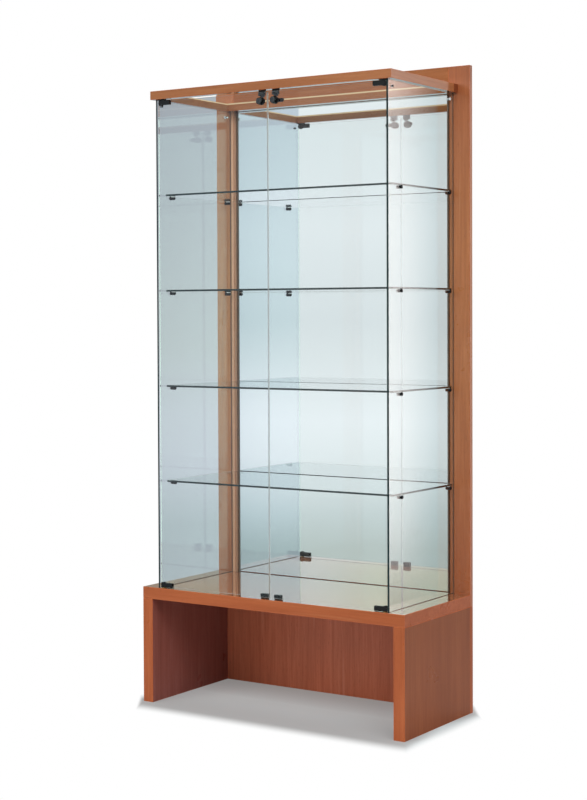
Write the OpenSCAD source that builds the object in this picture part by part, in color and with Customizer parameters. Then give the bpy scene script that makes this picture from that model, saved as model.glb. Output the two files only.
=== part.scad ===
/* [Case] */
// Overall width of the base and of the back
case_w = 1000; // [900:10:1200]
// Overall depth from the front of the base to the rear of the back
case_d = 445; // [400:5:550]
// Overall height to the top edge of the back
case_h = 2082; // [1950:1:2300]
// Height of the open base
base_h = 384; // [300:1:480]
// Thickness of the thick boards of the base
board_t = 39; // [32:1:45]
// Thickness of the back boards and of the rear panel
back_t = 18; // [18:1:22]

/* [Top frame] */
// Rise of the back above the top of the frame
back_rise = 58; // [40:1:90]
// Height of the frame rails
rail_h = 28; // [26:1:36]
// Width of the frame rails seen from below
rail_b = 28; // [26:1:36]
// Inset of the frame from each side of the base
frame_inset = 42; // [36:1:46]
// Width of the rebate around the inside of the frame
rebate_b = 10; // [8:1:12]
// Depth of that rebate from the top
rebate_h = 6; // [4:0.5:8]

/* [Glass] */
// Thickness of side glass, doors and shelves
glass_t = 6; // [5:1:8]
// Inset of the side glass from each side of the base
glass_inset = 58; // [56:1:60]
// Set-back of the front edge of the side glass
glass_front = 10; // [6:1:13]
// Depth that the side glass stands in its grooves
groove_d = 4; // [3:0.5:6]
// Clearance around glass in grooves and rebates
groove_c = 0.3; // [0.2:0.1:0.6]

/* [Shelves] */
// Height of the lowest shelf above the base
shelf_first = 354.5; // [280:0.5:400]
// Distance between neighbouring shelves
shelf_pitch = 316.2; // [260:0.1:340]
// Set-back of the front edge of the shelves
shelf_front = 48; // [44:1:80]
// Gap between shelf ends and side glass
shelf_gap = 4.5; // [3:0.5:6]
// Diameter of the shelf pegs and of their outer caps
peg_d = 12; // [10:0.5:16]
// Length of a peg inside the glass
peg_l = 12; // [10:0.5:18]
// Thickness of an outer cap
cap_t = 4; // [3:0.5:6]
// Distance of the front pegs from the front edge of the shelf
peg_front = 39; // [25:1:60]
// Distance of the rear pegs from the rear edge of the shelf
peg_rear = 24; // [18:1:60]

/* [Back] */
// Width of each upright board of the back
stile_w = 76; // [72:1:100]
// Thickness of the mirror glass
mirror_t = 4; // [3:0.5:4]
// Width of the dark gap along each side of the mirror glass
mirror_gap = 9; // [2:0.5:12]
// Thickness of the thin rear panel
panel_t = 4; // [3:0.5:4]

/* [Hinges] */
// Distance of the pivot axis from the inner face of the side glass
pivot_in = 12; // [12:0.5:15]
// Gap between door and side glass
door_side = 2; // [1.5:0.5:3]
// Gap between the two doors
door_gap = 3; // [2:0.5:5]
// Set-back of the front face of the doors
door_front = 14; // [13:1:18]
// Length of a hinge leaf
leaf_l = 46; // [40:1:60]
// Height of the bar of a hinge leaf
leaf_h = 15; // [13:0.5:18]
// Thickness of a hinge plate
leaf_t = 3; // [2:0.5:3.5]
// Diameter of the round end of a hinge leaf
boss_d = 18; // [16:0.5:19]
// Thickness of the web that closes a hinge leaf
web_t = 2.5; // [2:0.5:3]
// Diameter of the pivot pins
pin_d = 6; // [5:0.5:7]

/* [Locks] */
// Distance of a lock axis from the middle of the case
lock_x = 26; // [22:1:40]
// Distance of a lock axis below the door top
lock_drop = 28; // [26:1:40]
// Diameter of the collar and of the nut of a lock
lock_d = 24; // [22:1:26]
// Diameter of the turning knob
knob_d = 21; // [18:1:22]
// Diameter of the turning barrel
barrel_d = 12; // [10:1:14]
// Length of the cam from the lock axis
cam_l = 27; // [24:1:29]
// Width of keepers and catches
keeper_w = 25; // [20:1:30]

/* [Hidden] */
$fn = 48;
// small overlap that keeps cuts clean
e = 0.5;
// radial clearance of pins and barrels in their bores
run_c = 0.05;
// radial clearance of screws and studs
fix_c = 0.1;
// axial gap between moving and fixed hinge faces
face_c = 0.5;
// gap between a closed door and its keeper
stop_c = 0.5;

frame_top = case_h - back_rise;
frame_z = frame_top - rail_h;
frame_hw = case_w / 2 - frame_inset;
back_y = case_d - back_t;
base_under = base_h - board_t;
glass_out = case_w / 2 - glass_inset;
glass_in = glass_out - glass_t;
rail_in = frame_hw - rail_b;

bush_t = 1;
bush_d = 10;
bush_l = 12;
bracket_t = 2.5;
bracket_in = 13;
bracket_hd = 10;
bracket_screw_in = 8.5;
bracket_screw_hd = 6;
pivot_x = glass_in - pivot_in;
pivot_y = door_front + glass_t / 2;
leaf_lo = base_h + bush_t + face_c;
leaf_hi = frame_z - bracket_t - face_c;
door_lo = leaf_lo + web_t;
door_hi = leaf_hi - web_t;
door_out = glass_in - door_side;
door_rear = door_front + glass_t;
pin_in = 9;
leaf_screw_d = 4;
leaf_head_d = 7;
leaf_head_t = 2;

lock_z = door_hi - lock_drop;
collar_t = 4;
nut_t = 6;
lock_hole = lock_d - 6;
knob_c = 0.3;
keeper_front = door_rear + stop_c;
keeper_d = 7.5;
keeper_z = door_hi - 10.5;
lip_h = 5;
lip_t = 2;
cam_t = 2.5;
cam_c = 1.5;
cam_y = keeper_front + keeper_d + cam_c;
cam_b = 12;
knob_front = 2;

catch_h = 15;
catch_d = 13;
strike_t = 1;
strike_c = 0.3;
strike_hw = 10;
catch_front = door_rear + strike_t + strike_c;
pole_t = 2;
pole_up = 3;
pole_out = 0.3;
pole_d = catch_d - 3;
pole_h = catch_h - 2 * pole_up;

shelf_hw = glass_in - shelf_gap;
shelf_rear = back_y - 2.5;
stud_d = 5;
hole_c = 0.5;
cap_skin = 1.4;
flat_h = 1;
peg_ys = [shelf_front + peg_front, shelf_rear - peg_rear];

opening_w = case_w - 2 * stile_w;
opening_top = frame_z;
rail_low = base_h - 3;
panel_lap = 12;

tie_run = 27;
tie_in = 11;
tie_y = back_y - tie_run;
tie_z = frame_z - 21;
tie_d = 10;
tie_l = 6;
tie_barrel = tie_d - 2;
tie_rod = 3;

bolt_y = pivot_y + 21;
bolt_z = frame_z - 19.5;
bolt_head = 9;
bolt_nut = 8;
bolt_t = 3;

screw_d = 4.5;
screw_l = 46;
screw_h = 9;
small_d = 3;
small_l = 14;
small_h = 6;
dowel_d = 10;
dowel_up = 16;
dowel_dn = 26;
side_x = case_w / 2 - board_t / 2;
base_screw_z = [base_under * 0.15, base_under * 0.5, base_under * 0.85];
dowel_ys = [0.15 * back_y, 0.5 * back_y, 0.85 * back_y];
low_screw_x = [-case_w / 2 + 30, -case_w / 4 + 15, 0, case_w / 4 - 15, case_w / 2 - 30];
top_screw_x = [for (k = [-1, -1 / 3, 1 / 3, 1]) k * (frame_hw - 78)];
panel_side_z = [0.06, 0.23, 0.40, 0.57, 0.74, 0.94];
panel_end_x = [-0.25, 0.25];

function shelf_z(i) = base_h + shelf_first + (i - 1) * shelf_pitch;

// box between two corners, with y counted from the front of the base
module slab(a, b) {
    translate([a[0], a[1] - case_d / 2, a[2]])
        cube([b[0] - a[0], b[1] - a[1], b[2] - a[2]]);
}

// moves to a point, with y counted from the front of the base
module at(x, y, z) {
    translate([x, y - case_d / 2, z]) children();
}

module left() {
    mirror([1, 0, 0]) children();
}

module both() {
    children();
    left() children();
}

// screw with a flush conical head, the shaft along +Z from the head
module screw(d, l, h, c = 0) {
    cylinder(h = (h - d) / 2, d1 = h + 2 * c, d2 = d + 2 * c);
    cylinder(h = l + c, d = d + 2 * c);
}

module wood_screw_places() {
    both() for (z = base_screw_z) at(side_x, case_d, z) rotate([90, 0, 0]) children();
    for (x = low_screw_x) at(x, case_d, base_h - board_t / 2) rotate([90, 0, 0]) children();
    for (x = top_screw_x) at(x, case_d, frame_z + panel_lap + 5) rotate([90, 0, 0]) children();
}

module panel_screw_places() {
    h = opening_top - base_h;
    both() for (k = panel_side_z) at(opening_w / 2 + panel_lap / 2, case_d, base_h + k * h)
        rotate([90, 0, 0]) children();
    for (k = panel_end_x) at(k * opening_w, case_d, opening_top + panel_lap / 2)
        rotate([90, 0, 0]) children();
}

module wood_holes() {
    wood_screw_places() screw(screw_d, screw_l, screw_h, fix_c);
}

module panel_holes() {
    panel_screw_places() screw(small_d, small_l, small_h, fix_c);
}

module dowel_places() {
    both() for (y = dowel_ys) at(side_x, y, base_under) children();
}

// room for the two side glasses in the boards that hold them
module glass_grooves() {
    both() slab([glass_in - groove_c, glass_front - groove_c, base_h - groove_d],
        [glass_out + groove_c, back_y + e, frame_z + groove_d]);
}

// rebate around the inside of the frame, open at the top
module frame_rebate() {
    slab([-rail_in - rebate_b, rail_b - rebate_b, frame_top - rebate_h],
        [rail_in + rebate_b, back_y - rail_b + rebate_b, frame_top + e]);
}

// room for the upper pivot pins and the bracket screws in the frame
module frame_bores() {
    both() at(pivot_x, pivot_y, frame_z - e) cylinder(h = pin_in + e, d = pin_d + 1);
    bracket_screw_places() screw(small_d, small_l, small_h, fix_c);
}

module base_side() {
    difference() {
        slab([case_w / 2 - board_t, 0, 0], [case_w / 2, back_y, base_under]);
        dowel_places() translate([0, 0, -dowel_dn]) cylinder(h = dowel_dn + e, d = dowel_d + 2 * fix_c);
        wood_holes();
    }
}

module base_side_left() color("sienna") left() base_side();

module base_side_right() color("peru") base_side();

module base_top() color("chocolate") difference() {
    slab([-case_w / 2, 0, base_under], [case_w / 2, back_y, base_h]);
    glass_grooves();
    dowel_places() translate([0, 0, -e]) cylinder(h = dowel_up + e, d = dowel_d + 2 * fix_c);
    both() at(pivot_x, pivot_y, base_h - bush_l) cylinder(h = bush_l + e, d = bush_d + 2 * fix_c);
    wood_holes();
}

module base_rear() color("saddlebrown") difference() {
    slab([-case_w / 2, back_y, 0], [case_w / 2, case_d, base_under]);
    wood_holes();
}

module base_dowels() color("tan") dowel_places()
    translate([0, 0, -dowel_dn + 1]) cylinder(h = dowel_dn + dowel_up - 2, d = dowel_d);

module wood_screws() color("silver") wood_screw_places() screw(screw_d, screw_l - 1, screw_h);

// rebate in the rear of the back boards, which takes the thin panel
module panel_rebate() {
    slab([-opening_w / 2 - panel_lap, case_d - panel_t, rail_low], [opening_w / 2 + panel_lap,
        case_d + e, opening_top + panel_lap]);
}

module back_stile() {
    difference() {
        slab([opening_w / 2, back_y, base_under], [case_w / 2, case_d, case_h]);
        panel_rebate();
        wood_holes();
        panel_holes();
        tie_places() rotate([-90, 0, 0]) cylinder(h = tie_run + tie_in + 1, d = tie_rod + 2 * fix_c);
    }
}

module back_stile_left() color("peru") left() back_stile();

module back_stile_right() color("sienna") back_stile();

module back_top_rail() color("chocolate") difference() {
    slab([-opening_w / 2, back_y, opening_top], [opening_w / 2, case_d, case_h]);
    panel_rebate();
    wood_holes();
    panel_holes();
}

module back_bottom_rail() color("saddlebrown") difference() {
    slab([-opening_w / 2, back_y, base_under], [opening_w / 2, case_d, rail_low]);
    wood_holes();
}

module back_panel() color("burlywood") difference() {
    slab([-opening_w / 2 - panel_lap + groove_c, case_d - panel_t, rail_low],
        [opening_w / 2 + panel_lap - groove_c, case_d, opening_top + panel_lap - groove_c]);
    panel_holes();
}

module panel_screws() color("silver") panel_screw_places() screw(small_d, small_l - 1, small_h);

module mirror_pane() color("lightsteelblue")
    slab([-opening_w / 2 + mirror_gap, case_d - panel_t - mirror_t, rail_low],
        [opening_w / 2 - mirror_gap, case_d - panel_t, opening_top - groove_c]);

module peg_places() {
    for (i = [1:4], y = peg_ys) at(glass_in, y, shelf_z(i) - glass_t - peg_d / 2 + flat_h) children();
}

// hole through a side glass for a stud
module glass_hole() {
    translate([-e, 0, 0]) rotate([0, 90, 0]) cylinder(h = glass_t + 2 * e, d = stud_d + 2 * hole_c);
}

module side_glass() {
    difference() {
        slab([glass_in, glass_front, base_h - groove_d],
            [glass_out, back_y - 1, frame_z + groove_d - groove_c]);
        peg_places() glass_hole();
        at(glass_in, bolt_y, bolt_z) glass_hole();
        at(glass_in, tie_y, tie_z) glass_hole();
    }
}

module side_glass_left() color("paleturquoise") left() side_glass();

module side_glass_right() color("powderblue") side_glass();

// outline that ends the front corners of the frame on the diagonal
module frame_front() color("peru") difference() {
    at(0, 0, frame_z) linear_extrude(rail_h)
        polygon([[-frame_hw, 0], [frame_hw, 0], [frame_hw - rail_b, rail_b], [-frame_hw + rail_b, rail_b]]);
    glass_grooves();
    frame_rebate();
    frame_bores();
}

module frame_side() {
    difference() {
        at(0, 0, frame_z) linear_extrude(rail_h)
            polygon([[frame_hw, 0], [frame_hw, back_y - rail_b], [frame_hw - rail_b, back_y - rail_b],
                [frame_hw - rail_b, rail_b]]);
        glass_grooves();
        frame_rebate();
    }
}

module frame_left() color("sienna") left() frame_side();

module frame_right() color("chocolate") frame_side();

module frame_rear() color("saddlebrown") difference() {
    slab([-frame_hw, back_y - rail_b, frame_z], [frame_hw, back_y, frame_top]);
    glass_grooves();
    frame_rebate();
    wood_holes();
}

module shelf(i) {
    slab([-shelf_hw, shelf_front, shelf_z(i) - glass_t], [shelf_hw, shelf_rear, shelf_z(i)]);
}

module shelf_1() color("aquamarine") shelf(1);

module shelf_2() color("turquoise") shelf(2);

module shelf_3() color("aquamarine") shelf(3);

module shelf_4() color("turquoise") shelf(4);

// peg with a flat for the shelf and a stud that passes through the glass
module peg() {
    difference() {
        rotate([0, -90, 0]) cylinder(h = peg_l, d = peg_d);
        translate([-peg_l - e, -peg_d, peg_d / 2 - flat_h]) cube([peg_l + 2 * e, 2 * peg_d, peg_d]);
    }
    translate([-e, 0, 0]) rotate([0, 90, 0]) cylinder(h = glass_t + cap_t - cap_skin - fix_c + e, d = stud_d);
}

module shelf_pegs() color("black") both() peg_places() peg();

module shelf_caps() color("dimgray") both() peg_places() translate([glass_t, 0, 0]) rotate([0, 90, 0])
    difference() {
        cylinder(h = cap_t, d = peg_d);
        translate([0, 0, -e]) cylinder(h = cap_t - cap_skin + e, d = stud_d + 2 * fix_c);
    }

module bracket_screw_places() {
    both() for (k = [-1, 1])
        at(pivot_x - bracket_screw_in, pivot_y + k * bracket_screw_hd, frame_z - bracket_t) children();
}

// plate under the frame that takes the upper pivot
module hinge_bracket() {
    difference() {
        slab([pivot_x - bracket_in, pivot_y - bracket_hd, frame_z - bracket_t],
            [glass_in - groove_c, pivot_y + bracket_hd, frame_z]);
        at(pivot_x, pivot_y, frame_z - bracket_t - e) cylinder(h = bracket_t + 2 * e, d = pin_d + 2 * run_c);
        bracket_screw_places() screw(small_d, small_l, small_h, fix_c);
    }
}

module hinge_bracket_left() color("darkslategray") left() hinge_bracket();

module hinge_bracket_right() color("slategray") hinge_bracket();

module bracket_screws() color("silver") bracket_screw_places() screw(small_d, small_l - 1, small_h);

// bolt through the side glass, headed on both sides
module side_bolts() color("black") both() at(0, bolt_y, bolt_z) rotate([0, 90, 0]) {
    translate([0, 0, glass_in - bolt_t]) cylinder(h = bolt_t, d = bolt_nut);
    translate([0, 0, glass_in - bolt_t / 2]) cylinder(h = glass_t + bolt_t, d = stud_d);
    translate([0, 0, glass_out]) cylinder(h = bolt_t, d = bolt_head);
}

module pivot_bushes() color("gold") both() at(pivot_x, pivot_y, base_h) difference() {
    union() {
        translate([0, 0, -bush_l + 0.5]) cylinder(h = bush_l, d = bush_d);
        cylinder(h = bush_t, d = bush_d + 4);
    }
    translate([0, 0, -pin_in - 0.5]) cylinder(h = pin_in + bush_t + e + 0.5, d = pin_d + 2 * run_c);
}

// block under the front rail that stops the door and holds the cam, with a thin lip below it
module keepers() color("black") both() {
    slab([lock_x - keeper_w / 2, keeper_front, keeper_z],
        [lock_x + keeper_w / 2, keeper_front + keeper_d, frame_z]);
    slab([lock_x - keeper_w / 3, keeper_front + keeper_d - lip_t, keeper_z - lip_h],
        [lock_x + keeper_w / 3, keeper_front + keeper_d, keeper_z + 1]);
}

module pole_places() {
    both() for (k = [-1, 1]) at(lock_x + k * keeper_w / 4, catch_front, base_h + pole_up) children();
}

module catches() color("black") difference() {
    both() slab([lock_x - keeper_w / 2, catch_front + pole_out, base_h],
        [lock_x + keeper_w / 2, catch_front + catch_d, base_h + catch_h]);
    pole_places() translate([-pole_t / 2 - fix_c, -e, -fix_c])
        cube([pole_t + 2 * fix_c, pole_d + e, pole_h + 2 * fix_c]);
}

module catch_poles() color("silver") pole_places() translate([-pole_t / 2, 0, 0])
    cube([pole_t, pole_d - 2 * fix_c, pole_h]);

module tie_places() {
    at(glass_in - tie_l / 2, tie_y, tie_z) children();
}

// round tie from the side glass to the face of the back
module glass_ties() color("silver") both() tie_places() {
    rotate([-90, 0, 0]) cylinder(h = tie_run + tie_in, d = tie_rod);
    translate([-tie_l / 2, 0, 0]) rotate([0, 90, 0]) cylinder(h = tie_l, d = tie_barrel);
    rotate([0, 90, 0]) cylinder(h = tie_l / 2 + glass_t + cap_t - cap_skin - fix_c, d = stud_d);
}

module tie_caps() color("white") both() at(glass_out, tie_y, tie_z) rotate([0, 90, 0]) difference() {
    cylinder(h = cap_t, d = tie_d);
    translate([0, 0, -e]) cylinder(h = cap_t - cap_skin + e, d = stud_d + 2 * fix_c);
}

module door() {
    difference() {
        slab([door_gap / 2, door_front, door_lo], [door_out, door_rear, door_hi]);
        at(lock_x, door_front - e, lock_z) rotate([-90, 0, 0])
            cylinder(h = glass_t + 2 * e, d = lock_hole);
    }
}

module door_left() color("lightblue") left() door();

module door_right() color("skyblue") door();

// outline of a hinge plate, round at the pivot end
module leaf_outline() {
    translate([-leaf_l + boss_d / 2, 0]) square([leaf_l - boss_d / 2, leaf_h]);
    translate([0, boss_d / 2]) circle(d = boss_d);
}

// leaf that grips the edge of a door, standing on its web
module leaf() {
    difference() {
        at(pivot_x, door_front - leaf_t, 0) union() {
            translate([0, leaf_t, 0]) rotate([90, 0, 0]) linear_extrude(leaf_t) leaf_outline();
            translate([0, glass_t + 2 * leaf_t, 0]) rotate([90, 0, 0]) linear_extrude(leaf_t) leaf_outline();
            translate([-leaf_l + boss_d / 2, 0, 0]) cube([leaf_l, glass_t + 2 * leaf_t, web_t]);
        }
        at(pivot_x, pivot_y, -e) cylinder(h = web_t + 2 * e, d = pin_d + 2 * fix_c);
        leaf_screw_places() rotate([-90, 0, 0]) translate([0, 0, -e])
            cylinder(h = leaf_t + 2 * e, d = leaf_screw_d + 2 * fix_c);
    }
}

module leaf_screw_places() {
    bar = leaf_l - boss_d;
    for (k = [0.75, 0.45]) at(pivot_x - boss_d / 2 - k * bar, door_rear, web_t + leaf_h * 0.42) children();
}

// puts a leaf and what belongs to it at the lower and the upper end of a door
module low_end() {
    translate([0, 0, leaf_lo]) children();
}

module high_end() {
    translate([0, 0, leaf_hi]) mirror([0, 0, 1]) children();
}

module leaf_top_left() color("black") left() high_end() leaf();

module leaf_bottom_left() color("black") left() low_end() leaf();

module leaf_top_right() color("black") high_end() leaf();

module leaf_bottom_right() color("black") low_end() leaf();

module pins() {
    at(pivot_x, pivot_y, base_h - pin_in) cylinder(h = door_lo - base_h + pin_in, d = pin_d);
    at(pivot_x, pivot_y, door_hi) cylinder(h = frame_z - door_hi + pin_in - 1, d = pin_d);
}

module hinge_pins_left() color("silver") left() pins();

module hinge_pins_right() color("silver") pins();

module leaf_screws() {
    leaf_screw_places() rotate([-90, 0, 0]) {
        cylinder(h = leaf_t + leaf_head_t / 2, d = leaf_screw_d);
        translate([0, 0, leaf_t]) cylinder(h = leaf_head_t, d = leaf_head_d);
    }
}

module hinge_screws_left() color("dimgray") left() {
    low_end() leaf_screws();
    high_end() leaf_screws();
}

module hinge_screws_right() color("dimgray") {
    low_end() leaf_screws();
    high_end() leaf_screws();
}

module strike() {
    slab([lock_x - strike_hw, door_rear, door_lo],
        [lock_x + strike_hw, door_rear + strike_t, base_h + catch_h]);
}

module strike_left() color("silver") left() strike();

module strike_right() color("silver") strike();

// collar, tube and nut of a lock, bored for the barrel
module lock_body() {
    at(lock_x, door_front - collar_t, lock_z) rotate([-90, 0, 0]) difference() {
        union() {
            cylinder(h = collar_t, d = lock_d);
            cylinder(h = collar_t + glass_t + nut_t, d = lock_hole - 2 * hole_c);
            translate([0, 0, collar_t + glass_t]) cylinder(h = nut_t, d = lock_d);
        }
        translate([0, 0, -e]) cylinder(h = collar_t + glass_t + nut_t + 2 * e, d = barrel_d + 2 * run_c);
    }
}

module lock_body_left() color("black") left() lock_body();

module lock_body_right() color("black") lock_body();

// knob, barrel and cam that turn together, the cam pointing away from the other door
module lock_turn() {
    at(lock_x, knob_front, lock_z) rotate([-90, 0, 0]) {
        cylinder(h = door_front - collar_t - knob_front - knob_c, d = knob_d);
        cylinder(h = cam_y + cam_t - knob_front, d = barrel_d);
    }
    at(lock_x, cam_y, lock_z) {
        translate([0, 0, -cam_b / 2]) cube([cam_l - cam_b / 2, cam_t, cam_b]);
        translate([cam_l - cam_b / 2, 0, 0]) rotate([-90, 0, 0]) cylinder(h = cam_t, d = cam_b);
    }
}

module lock_turn_left() color("black") left() lock_turn();

module lock_turn_right() color("black") lock_turn();

base_side_left();
base_side_right();
base_top();
base_rear();
base_dowels();
wood_screws();
back_stile_left();
back_stile_right();
back_top_rail();
back_bottom_rail();
back_panel();
panel_screws();
mirror_pane();
side_glass_left();
side_glass_right();
frame_front();
frame_left();
frame_right();
frame_rear();
shelf_1();
shelf_2();
shelf_3();
shelf_4();
shelf_pegs();
shelf_caps();
hinge_bracket_left();
hinge_bracket_right();
bracket_screws();
side_bolts();
pivot_bushes();
keepers();
catches();
catch_poles();
glass_ties();
tie_caps();
door_left();
door_right();
leaf_top_left();
leaf_bottom_left();
leaf_top_right();
leaf_bottom_right();
hinge_pins_left();
hinge_pins_right();
hinge_screws_left();
hinge_screws_right();
strike_left();
strike_right();
lock_body_left();
lock_body_right();
lock_turn_left();
lock_turn_right();
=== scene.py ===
import bpy
import math
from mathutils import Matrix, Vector


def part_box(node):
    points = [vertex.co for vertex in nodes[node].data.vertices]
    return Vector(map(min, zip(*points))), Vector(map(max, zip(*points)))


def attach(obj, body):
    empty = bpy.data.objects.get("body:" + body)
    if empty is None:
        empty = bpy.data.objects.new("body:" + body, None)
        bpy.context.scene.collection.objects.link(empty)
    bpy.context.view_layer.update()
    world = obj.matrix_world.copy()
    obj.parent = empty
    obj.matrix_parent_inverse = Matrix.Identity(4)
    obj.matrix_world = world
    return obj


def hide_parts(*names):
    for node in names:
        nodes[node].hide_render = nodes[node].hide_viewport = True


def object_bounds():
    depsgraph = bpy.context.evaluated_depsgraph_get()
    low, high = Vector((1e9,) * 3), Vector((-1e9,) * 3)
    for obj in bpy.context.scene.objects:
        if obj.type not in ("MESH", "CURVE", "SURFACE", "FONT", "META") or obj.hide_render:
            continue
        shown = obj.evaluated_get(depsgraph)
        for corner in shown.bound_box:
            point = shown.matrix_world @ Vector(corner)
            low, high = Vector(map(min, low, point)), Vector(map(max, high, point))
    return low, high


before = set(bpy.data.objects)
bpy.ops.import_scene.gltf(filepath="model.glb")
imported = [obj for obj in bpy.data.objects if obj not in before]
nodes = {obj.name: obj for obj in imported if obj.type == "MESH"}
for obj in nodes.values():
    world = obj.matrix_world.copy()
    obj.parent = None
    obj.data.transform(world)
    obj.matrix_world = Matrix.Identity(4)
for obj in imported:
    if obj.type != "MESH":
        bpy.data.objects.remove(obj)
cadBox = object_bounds()
print("frame loaded,", len(nodes), "nodes")

front, rear = cadBox[0][1], cadBox[1][1]           # y of the base front and of the rear plane
facing, flat = 0.9, 0.985                          # least share of a normal that looks along an axis
past = 0.001                                       # how far a cutter reaches past the face it cuts
smooth = math.radians(35)                          # faces that meet at less than this are shaded as one
quarter = math.pi / 2
turns = {"X": (0, quarter, 0), "-X": (0, -quarter, 0), "Y": (-quarter, 0, 0), "-Y": (quarter, 0, 0),
         "Z": (0, 0, 0), "-Z": (math.pi, 0, 0)}


# modelling by hand, with operators

def alone(*objs):
    bpy.ops.object.select_all(action="DESELECT")
    for obj in objs:
        obj.select_set(True)
    bpy.context.view_layer.objects.active = objs[0]


def settle(obj, name=None):
    alone(obj)
    bpy.ops.object.transform_apply(location=True, rotation=True, scale=True)
    if name:
        obj.name = obj.data.name = name
    return obj


def block(name, low, high):
    bpy.ops.object.select_all(action="DESELECT")
    bpy.ops.mesh.primitive_cube_add(size=1, location=(Vector(low) + Vector(high)) / 2)
    obj = bpy.context.object
    obj.scale = Vector(high) - Vector(low)
    return settle(obj, name)


def nodeBlock(name, node):
    return block(name, *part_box(node))


def rod(name, centre, radius, depth, along="Z", sides=24):
    bpy.ops.object.select_all(action="DESELECT")
    bpy.ops.mesh.primitive_cylinder_add(vertices=sides, radius=radius, depth=depth, location=centre,
                                        rotation=turns[along])
    return settle(bpy.context.object, name)


def selectFaces(obj, test):
    alone(obj)
    bpy.context.tool_settings.mesh_select_mode = (False, False, True)
    for part in (obj.data.vertices, obj.data.edges):
        part.foreach_set("select", [False] * len(part))
    for face in obj.data.polygons:
        face.select = bool(test(face.center, face.normal))
    bpy.ops.object.mode_set(mode="EDIT")


def editAll(obj):
    selectFaces(obj, lambda centre, normal: True)
    bpy.ops.mesh.select_all(action="SELECT")


def leaveEdit():
    bpy.ops.object.mode_set(mode="OBJECT")


def movePoints(obj, test, move):
    alone(obj)
    bpy.context.tool_settings.mesh_select_mode = (True, False, False)
    for part in (obj.data.edges, obj.data.polygons):
        part.foreach_set("select", [False] * len(part))
    for point in obj.data.vertices:
        point.select = bool(test(point.co))
    bpy.ops.object.mode_set(mode="EDIT")
    bpy.ops.transform.translate(value=move)
    leaveEdit()


def cutAt(obj, place, way):
    # new edges where a plane crosses the piece, so that finishes can change there
    editAll(obj)
    bpy.ops.mesh.bisect(plane_co=place, plane_no=way)
    leaveEdit()


def soften(obj, width, segments=2):
    # all edges of a plain solid rounded over
    editAll(obj)
    bpy.ops.mesh.bevel(offset=width, segments=segments, profile=0.5, affect="EDGES")
    leaveEdit()
    return obj


def softenByAngle(obj, width, segments, degrees):
    alone(obj)
    mod = obj.modifiers.new("arris", "BEVEL")
    mod.width, mod.segments = width, segments
    mod.limit_method, mod.angle_limit = "ANGLE", math.radians(degrees)
    bpy.ops.object.modifier_apply(modifier=mod.name)


def combine(obj, tools, operation="DIFFERENCE"):
    for tool in tools:
        alone(obj)
        mod = obj.modifiers.new("shape", "BOOLEAN")
        mod.operation, mod.object, mod.solver = operation, tool, "EXACT"
        bpy.ops.object.modifier_apply(modifier=mod.name)
        mesh = tool.data
        bpy.data.objects.remove(tool)
        bpy.data.meshes.remove(mesh)
    return obj


def joined(objs, name):
    alone(*objs)
    if len(objs) > 1:
        bpy.ops.object.join()
    obj = bpy.context.object
    obj.name = obj.data.name = name
    return obj


def copied(obj, name, move=(0, 0, 0)):
    twin = obj.copy()
    twin.data = obj.data.copy()
    bpy.context.collection.objects.link(twin)
    twin.location = move
    return settle(twin, name)


def flipped(obj, name, scale=(-1, 1, 1), centre=(0, 0, 0)):
    # mirrored copy with its own mesh
    twin = copied(obj, name)
    editAll(twin)
    bpy.ops.transform.resize(value=scale, center_override=centre)
    bpy.ops.mesh.flip_normals()
    leaveEdit()
    return twin


def pair(obj, name):
    # the right piece and its mirrored copy as one
    return joined([obj, flipped(obj, "twin")], name)


def turned(name, profile, place, along="Z", sides=32):
    # round piece: a short cylinder whose end is extruded and scaled along (radius, height) steps
    (firstRadius, firstHeight), (nextRadius, nextHeight) = profile[:2]
    bpy.ops.object.select_all(action="DESELECT")
    bpy.ops.mesh.primitive_cylinder_add(vertices=sides, radius=firstRadius, depth=nextHeight - firstHeight,
                                        location=(0, 0, (firstHeight + nextHeight) / 2))
    obj = settle(bpy.context.object, name)
    selectFaces(obj, lambda centre, normal: normal.z > facing)
    if nextRadius != firstRadius:
        bpy.ops.transform.resize(value=(nextRadius / firstRadius, nextRadius / firstRadius, 1),
                                 center_override=(0, 0, nextHeight))
    for (fromRadius, fromHeight), (toRadius, toHeight) in zip(profile[1:-1], profile[2:]):
        bpy.ops.mesh.extrude_region_move(TRANSFORM_OT_translate={"value": (0, 0, toHeight - fromHeight)})
        bpy.ops.transform.resize(value=(toRadius / fromRadius, toRadius / fromRadius, 1),
                                 center_override=(0, 0, toHeight))
    leaveEdit()
    obj.rotation_euler, obj.location = turns[along], place
    return settle(obj, name)


def spread(proto, name, moves):
    pieces = [copied(proto, name, move) for move in moves]
    mesh = proto.data
    bpy.data.objects.remove(proto)
    bpy.data.meshes.remove(mesh)
    return joined(pieces, name)


# face tests for finishes

def faces(way, limit=facing):
    # faces that look along an axis, such as "-x"; a bare axis takes both ways
    axis = "xyz".index(way[-1])
    if len(way) == 1:
        return lambda centre, normal: abs(normal[axis]) > limit
    sign = -1 if way[0] == "-" else 1
    return lambda centre, normal: sign * normal[axis] > limit


def aside(axis, limit=facing):
    return lambda centre, normal: abs(normal["xyz".index(axis)]) < limit


def slanted(centre, normal):
    return max(abs(normal.x), abs(normal.y), abs(normal.z)) < flat


def finishPiece(obj, body, slot, node, look, *others):
    # one finish all over, then others on the faces that their test picks
    obj.data.materials.clear()
    obj.data.materials.append(finishes[look])
    for face in obj.data.polygons:
        face.material_index = 0
    for number, (other, test) in enumerate(others, 1):
        obj.data.materials.append(finishes[other])
        for face in obj.data.polygons:
            if test(face.center, face.normal):
                face.material_index = number
    alone(obj)
    bpy.ops.object.shade_smooth_by_angle(angle=smooth)
    mod = obj.modifiers.new("flat faces stay flat", "WEIGHTED_NORMAL")
    mod.keep_sharp = True
    bpy.ops.object.modifier_apply(modifier=mod.name)
    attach(obj, body)
    if node:
        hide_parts(node)


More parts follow.
